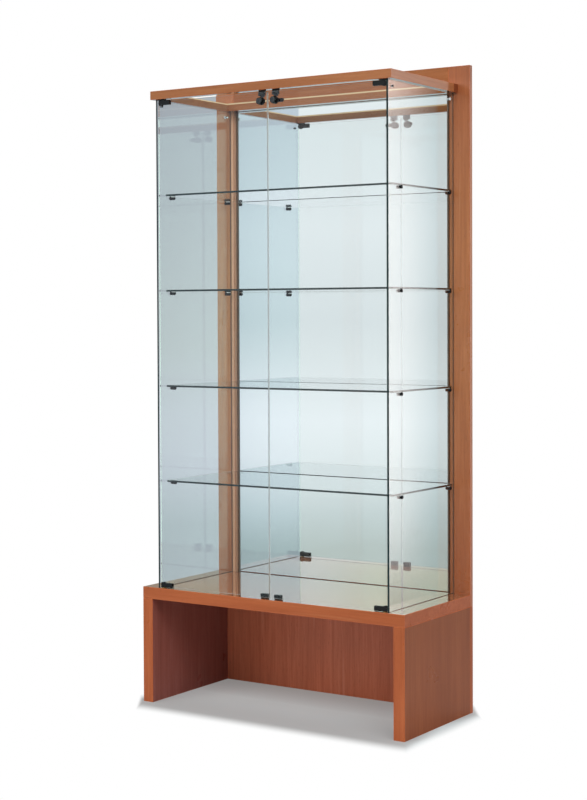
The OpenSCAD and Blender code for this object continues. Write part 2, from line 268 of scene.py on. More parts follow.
def bothSides(obj, name, body, slot, node, look, *others):
    # the right piece and its mirrored copy; {} in a body or node stands for the side
    for piece, side in ((obj, "right"), (flipped(obj, name), "left")):
        finishPiece(piece, body.format(side), slot, node.format(side), look, *others)


# finishes, with shader maths written as expressions

class Sock:
    def __init__(self, tree, socket):
        self.tree, self.socket = tree, socket

    def math(self, operation, first, second=0.0):
        node = self.tree.nodes.new("ShaderNodeMath")
        node.operation = operation
        for socket, value in zip(node.inputs, (first, second)):
            if isinstance(value, Sock):
                self.tree.links.new(value.socket, socket)
            else:
                socket.default_value = value
        return Sock(self.tree, node.outputs[0])

    def __add__(self, other):
        return self.math("ADD", self, other)

    def __radd__(self, other):
        return self.math("ADD", other, self)

    def __sub__(self, other):
        return self.math("SUBTRACT", self, other)

    def __rsub__(self, other):
        return self.math("SUBTRACT", other, self)

    def __mul__(self, other):
        return self.math("MULTIPLY", self, other)

    def __rmul__(self, other):
        return self.math("MULTIPLY", other, self)

    def __truediv__(self, other):
        return self.math("DIVIDE", self, other)

    def __rtruediv__(self, other):
        return self.math("DIVIDE", other, self)

    def __abs__(self):
        return self.math("ABSOLUTE", self)

    def most(self, other):
        return self.math("MAXIMUM", self, other)

    def beyond(self, limit):
        return self.math("GREATER_THAN", self, limit)


class Finish:
    def __init__(self, name, owner=None):
        self.mat = owner or bpy.data.materials.new(name)
        self.mat.use_nodes = True
        self.tree = self.mat.node_tree
        self.tree.nodes.clear()

    def node(self, kind, settings=None, values=None, out=0):
        node = self.tree.nodes.new("ShaderNode" + kind)
        for key, value in (settings or {}).items():
            if key == "stops":
                ramp = node.color_ramp.elements
                while len(ramp) < len(value):
                    ramp.new(0.5)
                for stop, (place, shade) in zip(ramp, value):
                    stop.position = place
                    if isinstance(shade, (int, float)):
                        shade = (shade, shade, shade)
                    stop.color = (*shade, 1)
            else:
                setattr(node, key, value)
        for key, value in (values or {}).items():
            if isinstance(value, Sock):
                self.tree.links.new(value.socket, node.inputs[key])
            elif isinstance(value, tuple) and len(value) == 3 and node.inputs[key].type == "RGBA":
                node.inputs[key].default_value = (*value, 1)
            else:
                node.inputs[key].default_value = value
        return Sock(self.tree, node.outputs[out]) if node.outputs else None

    def spot(self, scale=(1, 1, 1), move=(0, 0, 0)):
        place = self.node("TexCoord", out="Object")
        return self.node("Mapping", values={"Vector": place, "Location": move, "Scale": scale})

    def axes(self, coordinates):
        split = self.node("SeparateXYZ", {}, {0: coordinates}).socket.node
        return [Sock(self.tree, out) for out in split.outputs]

    def ray(self, kind):
        return self.node("LightPath", out=kind)

    def noise(self, spot, scale, detail=2.0, rough=0.5, warp=0.0):
        return self.node("TexNoise", {},
                         {"Vector": spot, "Scale": scale, "Detail": detail, "Roughness": rough,
                          "Distortion": warp})

    def ramp(self, value, *stops):
        return self.node("ValToRGB", {"stops": stops}, {"Fac": value})

    def rise(self, value, start, end, low=0.0, high=1.0):
        return self.node("MapRange", {"interpolation_type": "SMOOTHSTEP"},
                         {"Value": value, "From Min": start, "From Max": end, "To Min": low,
                          "To Max": high})

    def mix(self, amount, first, second):
        return self.node("Mix", {"data_type": "RGBA", "clamp_factor": True},
                         {0: amount, 6: first, 7: second}, out=2)

    def times(self, colour, tint):
        return self.node("VectorMath", {"operation": "MULTIPLY"}, {0: colour, 1: tint})

    def scaled(self, colour, amount):
        return self.node("VectorMath", {"operation": "SCALE"}, {0: colour, "Scale": amount})

    def blend(self, amount, first, second):
        return self.node("MixShader", {}, {0: amount, 1: first, 2: second})

    def bump(self, height, strength, distance):
        return self.node("Bump", {}, {"Height": height, "Strength": strength, "Distance": distance})

    def body(self, **values):
        names = {"colour": "Base Color", "metallic": "Metallic", "rough": "Roughness", "ior": "IOR",
                 "normal": "Normal", "spec": "Specular IOR Level", "coat": "Coat Weight",
                 "coatRough": "Coat Roughness", "coatIor": "Coat IOR", "clear": "Transmission Weight",
                 "alpha": "Alpha"}
        return self.node("BsdfPrincipled", {}, {names[key]: value for key, value in values.items()})

    def close(self, shader):
        self.node("OutputMaterial", {}, {"Surface": shader})
        return self.mat


# cherry laminate: long fine streaks, short dark pores and a slow drift of tone along the grain
cherry = {"wood": ((0.32, (0.335, 0.080, 0.026)), (0.50, (0.405, 0.102, 0.034)),
                   (0.68, (0.470, 0.130, 0.046))),
          "pore": (0.170, 0.040, 0.015), "poreStops": ((0.60, 0.0), (0.74, 1.0)), "poreShare": 0.40,
          "pale": (0.540, 0.195, 0.082), "paleStops": ((0.66, 0.0), (0.74, 1.0)), "paleShare": 0.30,
          "streakShare": 0.42, "bandShare": 0.58, "drift": (0.93, 1.06), "driftSpan": (0.3, 0.7),
          "gloss": (0.06, 0.10, 0.06), "poreBump": 0.6, "streakBump": 0.4, "bumpHigh": 0.0006,
          "stretch": {"streak": 0.030, "band": 0.055, "pore": 0.070, "drift": 0.16},
          "move": {"streak": (1, 0.7, 0.3), "band": (0.4, 1, 0.6), "pore": (1, 0, 1), "drift": (0.5, 1, 0)},
          "noise": {"streak": (150, 5.0, 0.60, 0.15), "band": (26, 4.0, 0.60, 1.6), "pore": (620, 2.0, 0.5),
                    "drift": (7.5, 2.0, 0.5, 0.4), "pale": (74, 2.0, 0.4), "smear": (9, 3.0, 0.6)}}
# tints of the boards; a list runs by height, from the foot to the top. The tints of the outer sides, the back
# rails and the walls inside the base paint shade; those of the inner stile edges and the rear panel inside
# the base paint light; the stile lists paint light and shade by height
tones = {"upper": (1.0, 1.42, 1.6), "paler": (1.0, 1.75, 2.3), "outer": (1.0, 1.07, 1.0),
         # the lip tint paints light on the inner edges of the stiles
         "lip": (1.0, 2.2, 4.0), "paintedShadeBackRail": (1.0, 1.32, 1.33), "deck": (0.84, 1.10, 1.25),
         # inside the base: painted shade on the walls, painted light on the rear panel
         "bay": (0.66, 0.86, 2.0), "paintedLightBayRear": (1.45, 1.72, 2.8),
         # painted light and shade by height: paler at mid-height like a sheen, darker at the foot and at the
         # very top, where the top frame shades the stile
         "stileLeft": [(0.22, (0.54, 0.66, 0.58)), (0.54, (0.66, 1.0, 0.95)), (0.72, (0.66, 1.0, 0.95)),
                       (0.985, (0.55, 0.72, 0.66))],
         "stile": [(0.22, (0.55, 0.63, 0.67)), (0.54, (0.66, 0.90, 0.97)), (0.72, (0.66, 0.92, 0.98)),
                   (0.965, (0.55, 0.66, 0.72)), (0.985, (0.43, 0.46, 0.34))]}


def cherryFinish(name, along="Z", shade=1.0, shift=0.0, tone=None, rough=0.30, spec=0.20, coat=0.0,
                 coatRough=0.03, coatIor=1.5, bump=0.05):
    finish = Finish(name)

    def grain(kind):
        stretch = cherry["stretch"][kind]
        return finish.spot(tuple(stretch if axis == along else 1 for axis in "XYZ"),
                           tuple(shift * part for part in cherry["move"][kind]))

    noise = cherry["noise"]
    long = grain("streak")
    streaks = finish.noise(long, *noise["streak"])
    bands, pores, drift = [finish.noise(grain(kind), *noise[kind]) for kind in ("band", "pore", "drift")]
    wood = finish.ramp(streaks * cherry["streakShare"] + bands * cherry["bandShare"], *cherry["wood"])
    paleLine = finish.ramp(finish.noise(long, *noise["pale"]), *cherry["paleStops"])
    wood = finish.mix(paleLine * cherry["paleShare"], wood, cherry["pale"])
    poreMask = finish.ramp(pores, *cherry["poreStops"])
    wood = finish.mix(poreMask * cherry["poreShare"], wood, cherry["pore"])
    (low, high), (start, end) = cherry["drift"], cherry["driftSpan"]
    wood = finish.scaled(wood,
                         finish.node("MapRange", {}, {"Value": drift, "From Min": start, "From Max": end,
                                                      "To Min": low * shade, "To Max": high * shade}))
    tint = tones.get(tone)
    if isinstance(tint, list):
        tint = finish.ramp(finish.axes(finish.node("TexCoord", out="Object"))[2] / cadBox[1][2], *tint)
    if tint:
        wood = finish.times(wood, tint)
    smear = finish.noise(finish.spot((1, 1, 1), (shift, 0, 0)), *noise["smear"])
    less, smeared, pored = cherry["gloss"]
    gloss = rough - less + smeared * smear + pored * poreMask
    relief = finish.bump(pores * cherry["poreBump"] + streaks * cherry["streakBump"], bump,
                         cherry["bumpHigh"])
    return finish.close(finish.body(colour=wood, rough=gloss, spec=spec, coat=coat, coatRough=coatRough,
                                    coatIor=coatIor, normal=relief))


finishes = {
    "sideRight": cherryFinish("cherry upright"),
    "sideLeft": cherryFinish("cherry upright b", shift=3.1),
    # outer faces of the base sides, darker than the front: painted shade
    "outer": cherryFinish("cherry outer side", "Z", 0.67, 4.7, "outer"),
    "stile": cherryFinish("cherry stile", "Z", 1.92, 1.7, "stile", spec=0.6),
    # the left stile's copy is paler than the right one's: painted light
    "stileLeft": cherryFinish("cherry stile b", "Z", 1.92, 6.6, "stileLeft", spec=0.6),
    # inner edges of the stiles and a strip of the left stile, far paler than the stile: painted light
    "paintedLightEdge": cherryFinish("cherry stile edge", "Z", 2.10, 1.7, "lip"),
    "rear": cherryFinish("cherry rear board", shift=5.3),
    # walls inside the base, darker and redder than the outside: painted shade
    "bay": cherryFinish("cherry bay wall", "Z", 1.0, 2.9, "bay"),
    # rear panel inside the base, paler: painted light
    "paintedLightBayRear": cherryFinish("cherry bay rear", "Z", 1.0, 5.3, "paintedLightBayRear"),
    "rail": cherryFinish("cherry rail", "X", 0.94, 2.3, "upper", rough=0.24),
    # back rails, darker than the frame rails: painted shade
    "paintedShadeBackRail": cherryFinish("cherry back rail", "X", 0.84, 3.6, "paintedShadeBackRail", rough=0.24),
    # inner faces of the top frame, darker: painted shade
    "paintedShadeRailIn": cherryFinish("cherry rail inside", "X", 0.72, 2.3, "paler", rough=0.24),
    # outer faces of the side rails, paler: painted light
    "paintedLightRailSide": cherryFinish("cherry side rail", "Y", 1.15, 4.2, "upper", rough=0.24, spec=0.45),
    "deck": cherryFinish("cherry deck", "X", 1.0, 6.1, "deck", rough=0.10, spec=0.5, coat=1.0,
                         coatRough=0.02, coatIor=1.62, bump=0.01),
    "deckEdge": cherryFinish("cherry edge band", "X", 1.0, 7.4),
    # rounded edges, paler than the faces: painted highlight, added to the light the bevels catch
    "arris": cherryFinish("cherry arris", "Z", 1.30, 0.9, rough=0.28),
    "under": cherryFinish("cherry under side", "X", 1.0, 2.3, "upper", rough=0.14, spec=0.5, coat=1.0,
                          coatRough=0.04, coatIor=1.6, bump=0.01),
    "railEnd": cherryFinish("cherry end grain", "X", 0.55, 8.8, rough=0.5),
}


# finishes of one noise: two colours, least roughness and its spread, and bump as strength and height
plain = {
    "bare": {"name": "bare wood", "stretch": (1, 1, 0.2), "noise": (300, 4.0, 0.6), "rough": (0.55, 0.1),
             "colours": ((0.54, 0.41, 0.25), (0.66, 0.54, 0.37)), "bump": (0.15, 0.0003)},
    "doorEdge": {"name": "polished glass edge", "noise": (55, 3.0, 0.6), "rough": (0.10, 0.08),
                 "alpha": 0.45, "colours": ((0.58, 0.63, 0.62), (0.70, 0.75, 0.74))},
    "seated": {"name": "glass edge in its seat", "noise": (120, 3.0, 0.6), "rough": (0.35, 0.15),
               "colours": ((0.085, 0.064, 0.048), (0.140, 0.105, 0.078))},
    "bead": {"name": "soft grey bead", "stretch": (1, 0.2, 1), "noise": (240, 3.0, 0.6),
             "rough": (0.42, 0.2), "colours": ((0.110, 0.102, 0.086), (0.190, 0.178, 0.150)),
             "bump": (0.1, 0.0003), "spec": 0.3},
    "pad": {"name": "clear pad", "noise": (420, 2.0, 0.5), "rough": (0.30, 0.15),
            "colours": ((0.74, 0.78, 0.77), (0.84, 0.87, 0.86))},
    "mirror": {"name": "mirror face", "noise": (1.6, 2.0), "rough": 0.0, "metallic": 1.0,
               "colours": ((0.915, 0.945, 0.948), (0.925, 0.950, 0.952))},
    "paint": {"name": "mirror back paint", "noise": (320, 3.0, 0.6), "rough": (0.55, 0.15),
              "colours": ((0.10, 0.11, 0.12), (0.16, 0.17, 0.18)), "bump": (0.1, 0.0003)},
    "dowel": {"name": "dowel wood", "stretch": (1, 1, 0.06), "noise": (420, 4.0, 0.6), "rough": 0.6,
              "colours": ((0.46, 0.30, 0.16), (0.62, 0.44, 0.26)), "bump": (0.2, 0.0004)},
    "brass": {"name": "turned brass", "stretch": (1, 1, 0.1), "noise": (900, 3.0), "rough": (0.22, 0.16),
              "colours": ((0.60, 0.40, 0.14), (0.74, 0.53, 0.22)), "metallic": 1.0},
    "white": {"name": "white cap", "noise": (240, 3.0, 0.6), "rough": (0.30, 0.15),
              "colours": ((0.80, 0.80, 0.78), (0.88, 0.88, 0.86))},
    "bright": {"name": "bright tie", "noise": (300, 3.0), "rough": (0.12, 0.10), "metallic": 1.0,
               "colours": ((0.72, 0.73, 0.74), (0.82, 0.83, 0.84))},
}


def plainFinish(name, noise, colours, rough, stretch=(1, 1, 1), bump=None, **values):
    finish = Finish(name)
    cloud = finish.noise(finish.spot(stretch), *noise)
    if isinstance(rough, tuple):
        rough = rough[0] + rough[1] * cloud
    if bump:
        values["normal"] = finish.bump(cloud, *bump)
    return finish.close(finish.body(colour=finish.mix(cloud, *colours), rough=rough, **values))


# finishes of two noises, one for the colour and one for the roughness and the bump
fine = {
    "metal": {"name": "black metal", "grain": (1900, 3.0, 0.6), "wear": (130, 4.0, 0.65),
              "stops": (0.58, 0.78), "share": 0.5,
              "colours": ((0.0030, 0.0032, 0.0036), (0.012, 0.0125, 0.014)), "rough": (0.16, 0.10, 0.06),
              "bump": 0.12, "spec": 0.35},
    "knob": {"name": "polished dark metal", "grain": (1700, 3.0, 0.6), "wear": (160, 4.0, 0.65),
             "stops": (0.52, 0.76), "share": 0.6, "colours": ((0.085, 0.087, 0.090), (0.17, 0.172, 0.175)),
             "rough": (0.15, 0.08, 0.05), "bump": 0.10, "metallic": 1.0},
    "plastic": {"name": "black plastic", "grain": (1300, 3.0, 0.55), "wear": (90, 4.0, 0.7),
                "rough": (0.26, 0.16), "colours": ((0.0030, 0.0030, 0.0033), (0.010, 0.010, 0.011)),
                "bump": 0.15, "spec": 0.35},
    "steel": {"name": "plain steel", "stretch": (1, 0.05, 1), "grain": (1800, 3.0, 0.6), "wear": (160, 3.0),
              "rough": (0.24, 0.14), "colours": ((0.50, 0.50, 0.49), (0.62, 0.62, 0.61)), "bump": 0.12,
              "metallic": 1.0},
}
fineBump = 0.0002


def fineFinish(name, grain, wear, colours, rough, bump, stretch=(1, 1, 1), stops=None, share=1.0, **values):
    finish = Finish(name)
    grain, wear = finish.noise(finish.spot(stretch), *grain), finish.noise(finish.spot(), *wear)
    least, grained, *worn = rough
    gloss = least + grained * grain
    if stops:
        wear = finish.ramp(wear, (stops[0], 0.0), (stops[1], 1.0))
        gloss = gloss + worn[0] * wear
    colour = finish.mix(wear * share if stops else wear, *colours)
    return finish.close(finish.body(colour=colour, rough=gloss, normal=finish.bump(grain, bump, fineBump),
                                    **values))


hardboard = {"fibre": (260, 5.0, 0.65, 0.4), "stretch": (1, 1, 0.6), "cloud": (6, 3.0, 0.6),
             "cloudShare": 0.35, "fibres": ((0.165, 0.085, 0.042), (0.285, 0.165, 0.090)),
             "clouded": (0.21, 0.115, 0.06), "rough": (0.62, 0.18), "bump": (0.25, 0.0004)}


def boardFinish():
    finish = Finish("thin brown board")
    fibre = finish.noise(finish.spot(hardboard["stretch"]), *hardboard["fibre"])
    cloud = finish.noise(finish.spot(), *hardboard["cloud"])
    colour = finish.mix(cloud * hardboard["cloudShare"], finish.mix(fibre, *hardboard["fibres"]),
                        hardboard["clouded"])
    least, more = hardboard["rough"]
    return finish.close(finish.body(colour=colour, rough=least + more * fibre,
                                    normal=finish.bump(fibre, *hardboard["bump"])))


# clear glass: lamp light passes to what is inside, and cut edges are dark from outside only
paneGlass = {"tint": ((0.915, 0.955, 0.952), (0.925, 0.960, 0.957)), "cloud": (2.2, 2.0), "ior": 1.37,
             "lampPass": (0.965, 0.975, 0.975), "deep": 6.5, "once": 0.5,
             "edge": ((0.006, 0.014, 0.015), (0.018, 0.038, 0.038)), "edgeRun": (55, 3.0, 0.6),
             "grit": (1400, 2.0), "edgeRough": (0.14, 0.12), "edgeIor": 1.45, "edgeSpec": 0.35,
             "edgeBump": (0.08, 0.0002)}


def passing(finish, body):
    # after many panes the glass lets a ray straight through, if it came straight into the pane
    film = finish.node("BsdfTransparent", {}, {"Color": paneGlass["lampPass"]})
    deep = finish.ray("Ray Depth").beyond(paneGlass["deep"])
    entered = finish.ray("Transparent Depth").beyond(paneGlass["once"])
    straight = (1 - finish.node("NewGeometry", out="Backfacing")).most(entered)
    return finish.blend(finish.ray("Is Shadow Ray").most(deep * straight), body, film)


def clearBody(finish):
    tint = finish.mix(finish.noise(finish.spot(), *paneGlass["cloud"]), *paneGlass["tint"])
    return finish.body(colour=tint, rough=0.0, ior=paneGlass["ior"], clear=1.0)


def glassFinish():
    finish = Finish("clear glass")
    return finish.close(passing(finish, clearBody(finish)))


def edgeFinish():
    finish = Finish("ground glass edge")
    run, grit = finish.noise(finish.spot(), *paneGlass["edgeRun"]), finish.noise(finish.spot(),
                                                                                 *paneGlass["grit"])
    least, more = paneGlass["edgeRough"]
    ground = finish.body(colour=finish.mix(run, *paneGlass["edge"]), rough=least + more * grit,
                         ior=paneGlass["edgeIor"], spec=paneGlass["edgeSpec"],
                         normal=finish.bump(grit, *paneGlass["edgeBump"]))
    return finish.close(passing(finish,
                                finish.blend(finish.node("NewGeometry", out="Backfacing"), ground,
                                             clearBody(finish))))


finishes.update({key: plainFinish(**values) for key, values in plain.items()})
finishes.update({key: fineFinish(**values) for key, values in fine.items()})
finishes.update(glass=glassFinish(), edge=edgeFinish(), board=boardFinish())
print("finishes", len(finishes))


# screws seen on the rear, and the countersinks they sit in
woodScrew = {"head": 0.0045, "shank": 0.00225, "length": 0.045, "sunk": 0.0003,
             "cross": (0.0011, 0.0052, 0.0017),
             "base": [(hand * 0.4805, z) for hand in (-1, 1) for z in (0.05175, 0.1725, 0.29325)],
             "low": [(x, 0.3645) for x in (-0.470, -0.235, 0.0, 0.235, 0.470)],
             "top": [(portion * 0.380, 2.013) for portion in (-1, -1 / 3, 1 / 3, 1)]}
panelScrew = {"head": 0.0030, "shank": 0.0015, "length": 0.013, "sunk": 0.0002,
              "cross": (0.0008, 0.0036, 0.0011),
              "places": [(hand * 0.430, 0.384 + portion * 1.612) for hand in (-1, 1)
                         for portion in (0.06, 0.23, 0.40, 0.57, 0.74, 0.94)]
              + [(portion * 0.848, 2.002) for portion in (-0.25, 0.25)]}
screwShape = {"point": 0.4, "pointLong": 0.003, "rim": 0.0002, "crown": 0.98, "room": 0.0006,
              "sinkOut": 0.0005, "sides": 24}


def crossScrew(name, kind, place, along):
    # countersunk screw, its head flush at the place and facing along the axis
    shape, head, shank = screwShape, kind["head"], kind["shank"]
    screw = turned(name,
                   [(shank * shape["point"], -kind["length"]),
                    (shank, -kind["length"] + shape["pointLong"]), (shank, shank - head),
                    (head, -shape["rim"]), (head * shape["crown"], 0)],
                   (0, 0, 0), "Z", shape["sides"])
    broad, long, deep = kind["cross"]
    combine(screw, [block("slot", (-broad / 2, -long / 2, -deep), (broad / 2, long / 2, past)),
                    block("slot", (-long / 2, -broad / 2, -deep), (long / 2, broad / 2, past))])
    screw.rotation_euler, screw.location = turns[along], place
    return settle(screw)


def sinks(places, kind):
    cones, out = [], screwShape["sinkOut"]
    depth = kind["head"] - kind["shank"]
    for x, z in places:
        bpy.ops.object.select_all(action="DESELECT")
        bpy.ops.mesh.primitive_cone_add(vertices=screwShape["sides"],
                                        radius1=kind["head"] + screwShape["room"], radius2=kind["shank"],
                                        depth=depth + out, location=(x, rear - depth / 2 + out / 2, z),
                                        rotation=turns["-Y"])
        cones.append(settle(bpy.context.object, "sink"))
    return [joined(cones, "sinks")]


def rearScrews(name, kind, places):
    return spread(crossScrew(name, kind, (0, rear - kind["sunk"], 0), "Y"), name + "s",
                  [(x, 0, z) for x, z in places])


# base
baseBoards = {"arris": 0.0013, "rearArris": 0.0008, "turns": 3, "gap": 0.0003, "rearBand": 0.004,
              "pivot": (0.424, 0.017), "bore": 0.0051, "boreLong": 0.0142, "boreDown": 0.005}
gap = baseBoards["gap"]
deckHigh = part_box("base_top")[1]
pivotX, pivotY = baseBoards["pivot"][0], front + baseBoards["pivot"][1]

baseSideRight = soften(nodeBlock("baseSideRight", "base_side_right"), baseBoards["arris"],
                       baseBoards["turns"])
baseSideLeft = flipped(baseSideRight, "baseSideLeft")
finishPiece(baseSideRight, "case", "laminate", "base_side_right", "sideRight", ("bay", faces("-x")),
            ("outer", faces("+x")), ("arris", slanted))
finishPiece(baseSideLeft, "case", "laminate", "base_side_left", "sideLeft", ("bay", faces("+x")),
            ("outer", faces("-x")), ("arris", slanted))

deck = soften(nodeBlock("baseTop", "base_top"), baseBoards["arris"], baseBoards["turns"])
rooms = []
for side in ("left", "right"):
    low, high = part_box("side_glass_" + side)
    rooms.append(block("groove", (low[0] - gap, low[1] - gap, low[2]),
                       (high[0] + gap, deckHigh[1] + past, deckHigh[2] + past)))
for hand in (-1, 1):
    rooms.append(rod("bore", (hand * pivotX, pivotY, deckHigh[2] - baseBoards["boreDown"]),
                     baseBoards["bore"], baseBoards["boreLong"]))
combine(deck, rooms)
finishPiece(deck, "case", "laminate", "base_top", "deckEdge", ("deck", faces("+z", flat)),
            ("arris", slanted))

baseRear = soften(nodeBlock("baseRear", "base_rear"), baseBoards["rearArris"])
combine(baseRear, sinks(woodScrew["base"], woodScrew))
finishPiece(baseRear, "case", "laminate", "base_rear", "rear", ("paintedLightBayRear", faces("-y")),
            ("arris", lambda centre,
             normal: slanted(centre, normal) and abs(centre.y - rear) > baseBoards["rearBand"]))
print("base boards")

# back
backBoards = {"arris": 0.0009, "railArris": 0.00045, "panelRebate": (0.012, 0.004), "railLow": 0.381,
              "openTop": 1.996, "openHalf": 0.424, "strip": -0.4358, "edgeHalf": 0.43, "railTop": 0.40,
              "rearBand": 0.006, "panelArris": 0.0004}
lap, thin = backBoards["panelRebate"]
openTop, openHalf = backBoards["openTop"], backBoards["openHalf"]


def panelRecess():
    return block("recess", (-openHalf - lap, rear - thin, backBoards["railLow"]),
                 (openHalf + lap, rear + past, openTop + lap))


def paintedLightStrip(centre, normal):
    # part of the left stile between the side glass and the mirror, painted as light as the inner edges
    return normal.y < -facing and centre.x > backBoards["strip"] and centre.z < openTop


stileRight = soften(nodeBlock("backStileRight", "back_stile_right"), backBoards["arris"])
combine(stileRight, [panelRecess()] + sinks(woodScrew["low"][-1:], woodScrew))
stileLeft = flipped(stileRight, "backStileLeft")
cutAt(stileLeft, (backBoards["strip"], 0, 0), (1, 0, 0))
cutAt(stileLeft, (0, 0, openTop), (0, 0, 1))
topRail = soften(nodeBlock("backTopRail", "back_top_rail"), backBoards["railArris"])
combine(topRail, [panelRecess()] + sinks(woodScrew["top"], woodScrew))
bottomRail = soften(nodeBlock("backBottomRail", "back_bottom_rail"), backBoards["railArris"])
combine(bottomRail, sinks(woodScrew["low"][1:-1], woodScrew))
for obj, node, look in ((stileRight, "back_stile_right", "stile"),
                        (stileLeft, "back_stile_left", "stileLeft"), (topRail, "back_top_rail", "paintedShadeBackRail"),
                        (bottomRail, "back_bottom_rail", "paintedShadeBackRail")):
    finishPiece(obj, "case", "laminate", node, look,
                # painted light on the inner edges of the stiles and on the left stile's strip
                ("paintedLightEdge", lambda centre,
                 normal: abs(normal.x) > facing and abs(centre.x) < backBoards["edgeHalf"]),
                ("paintedLightEdge", lambda centre, normal: obj is stileLeft and paintedLightStrip(centre, normal)),
                ("bead", lambda centre,
                 normal: (normal.z > facing or normal.y < -facing) and centre.z < backBoards["railTop"]),
                ("arris", lambda centre,
                 normal: slanted(centre, normal) and centre.y < rear - backBoards["rearBand"]))

thinPanel = soften(nodeBlock("backPanel", "back_panel"), backBoards["panelArris"], 1)
combine(thinPanel, sinks(panelScrew["places"], panelScrew))
finishPiece(thinPanel, "case", "thin_board", "back_panel", "board")
finishPiece(rearScrews("woodScrew", woodScrew, woodScrew["base"] + woodScrew["low"] + woodScrew["top"]),
            "case", "steel", "wood_screws", "steel")
finishPiece(rearScrews("panelScrew", panelScrew, panelScrew["places"]), "case", "steel", "panel_screws",
            "steel")
print("back boards and screws")

# top frame, mitred at the front, with a bare rebate around its inside
topFrame = {"rail": 0.028, "arris": 0.0009, "rebate": 0.010, "rebateDeep": 0.006, "near": 0.0005,
            "above": 0.01, "grooveLow": 1.9, "grooveRear": 0.003, "inner": 0.3}
rail, near = topFrame["rail"], topFrame["near"]
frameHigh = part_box("frame_rear")[1]                              # as wide as the frame, at its rear
rebateX = frameHigh[0] - rail + topFrame["rebate"]
rebateFront, rebateRear = front + rail - topFrame["rebate"], frameHigh[1] - rail + topFrame["rebate"]
rebateLow = frameHigh[2] - topFrame["rebateDeep"]


def inRebate(centre, normal):
    within = abs(centre.x) < rebateX + near and rebateFront - near < centre.y < rebateRear + near
    return within and centre.z > rebateLow - near


def frameRooms():
    rooms = [block("rebate", (-rebateX, rebateFront, rebateLow),
                   (rebateX, rebateRear, frameHigh[2] + topFrame["above"]))]
    for side in ("left", "right"):
        low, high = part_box("side_glass_" + side)
        rooms.append(block("groove", (low[0] - gap, low[1] - gap, topFrame["grooveLow"]),
                           (high[0] + gap, high[1] + topFrame["grooveRear"], high[2] + gap)))
    return rooms


frameFront, frameRight = nodeBlock("frameFront", "frame_front"), nodeBlock("frameRight", "frame_right")
frameRear = nodeBlock("frameRear", "frame_rear")
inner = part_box("frame_right")[0][0]
for side in (1, -1):
    movePoints(frameFront, lambda point: point.y > front + rail / 2 and point.x * side > 0,
               (-rail * side, 0, 0))
movePoints(frameRight, lambda point: point.y < front + rail / 2 and point.x < inner + rail / 2,
           (0, rail, 0))
for obj in (frameFront, frameRight, frameRear):
    combine(soften(obj, topFrame["arris"]), frameRooms())
frameLeft = flipped(frameRight, "frameLeft")


def inward(centre, normal):
    return normal.x * centre.x < -topFrame["inner"]


for obj, node, look, other in ((frameFront, "frame_front", "rail", ("paintedShadeRailIn", faces("+y"))),
                               (frameRight, "frame_right", "paintedLightRailSide", ("paintedShadeRailIn", inward)),
                               (frameLeft, "frame_left", "paintedLightRailSide", ("paintedShadeRailIn", inward)),
                               (frameRear, "frame_rear", "rail", ("railEnd", faces("x", flat)))):
    finishPiece(obj, "case", "laminate", node, look, other, ("under", faces("-z")), ("arris", slanted),
                ("bare", inRebate))
print("top frame")

# glass
panes = {"arris": 0.0006, "hole": 0.003, "holeLong": 0.02, "shelfTops": (0.7385, 1.0547, 1.3709, 1.6871),
         "pegY": (0.087, 0.4005), "pegDown": 0.011, "bolt": (0.038, 1.9765), "tie": (0.400, 1.975),
         "lock": (0.026, 1.9625), "lockHole": 0.009, "lockSides": 32, "seatBand": 0.025, "toward": 0.5}
glassIn, glassOut = [corner[0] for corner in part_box("side_glass_right")]
pegSpots = [(front + y, z - panes["pegDown"]) for z in panes["shelfTops"] for y in panes["pegY"]]
boltY, boltZ = front + panes["bolt"][0], panes["bolt"][1]
tieY, tieZ = front + panes["tie"][0], panes["tie"][1]
lockX, lockZ = panes["lock"]

sideGlassRight = soften(nodeBlock("sideGlassRight", "side_glass_right"), panes["arris"], 1)
combine(sideGlassRight,
        [joined([rod("hole", ((glassIn + glassOut) / 2, y, z), panes["hole"], panes["holeLong"], "X")
                 for y, z in pegSpots + [(boltY, boltZ), (tieY, tieZ)]], "holes")])
bothSides(sideGlassRight, "sideGlassLeft", "case", "clear_glass", "side_glass_{}", "glass",
          ("edge", aside("x")),
          ("seated", lambda centre,
           normal: normal.y > panes["toward"] and centre.y > rear - panes["seatBand"]))

# thin bead along the foot of each side pane
bead = {"wide": 0.0022, "high": 0.0014, "from": 0.042, "to": 0.424, "round": 0.0006, "turns": 3,
        "gap": 0.00005}
beadOut, beadLow = glassIn - bead["gap"], deckHigh[2]
beadRight = soften(block("beadRight", (beadOut - bead["wide"], front + bead["from"], beadLow),
                         (beadOut, front + bead["to"], beadLow + bead["high"])), bead["round"],
                   bead["turns"])
for obj in (beadRight, flipped(beadRight, "beadLeft")):
    finishPiece(obj, "case", "black_plastic", None, "bead")
print("side glass")

doorRight = soften(nodeBlock("doorRight", "door_right"), panes["arris"], 1)
combine(doorRight,
        [rod("hole", (lockX, pivotY, lockZ), panes["lockHole"], panes["holeLong"], "-Y",
             panes["lockSides"])])
bothSides(doorRight, "doorLeft", "{}_door", "clear_glass", "door_{}", "glass", ("doorEdge", aside("y")),
          ("edge", lambda centre, normal: abs(normal.x) > panes["toward"] and abs(centre.x) > lockX * 2))

shelfOne = soften(nodeBlock("shelf1", "shelf_1"), panes["arris"], 1)
firstTop, *otherTops = panes["shelfTops"]
shelves = [shelfOne] + [copied(shelfOne, "shelf%d" % number, (0, 0, top - firstTop))
                        for number, top in enumerate(otherTops, 2)]
for number, obj in enumerate(shelves, 1):
    finishPiece(obj, "case", "clear_glass", "shelf_%d" % number, "glass", ("edge", aside("z")))

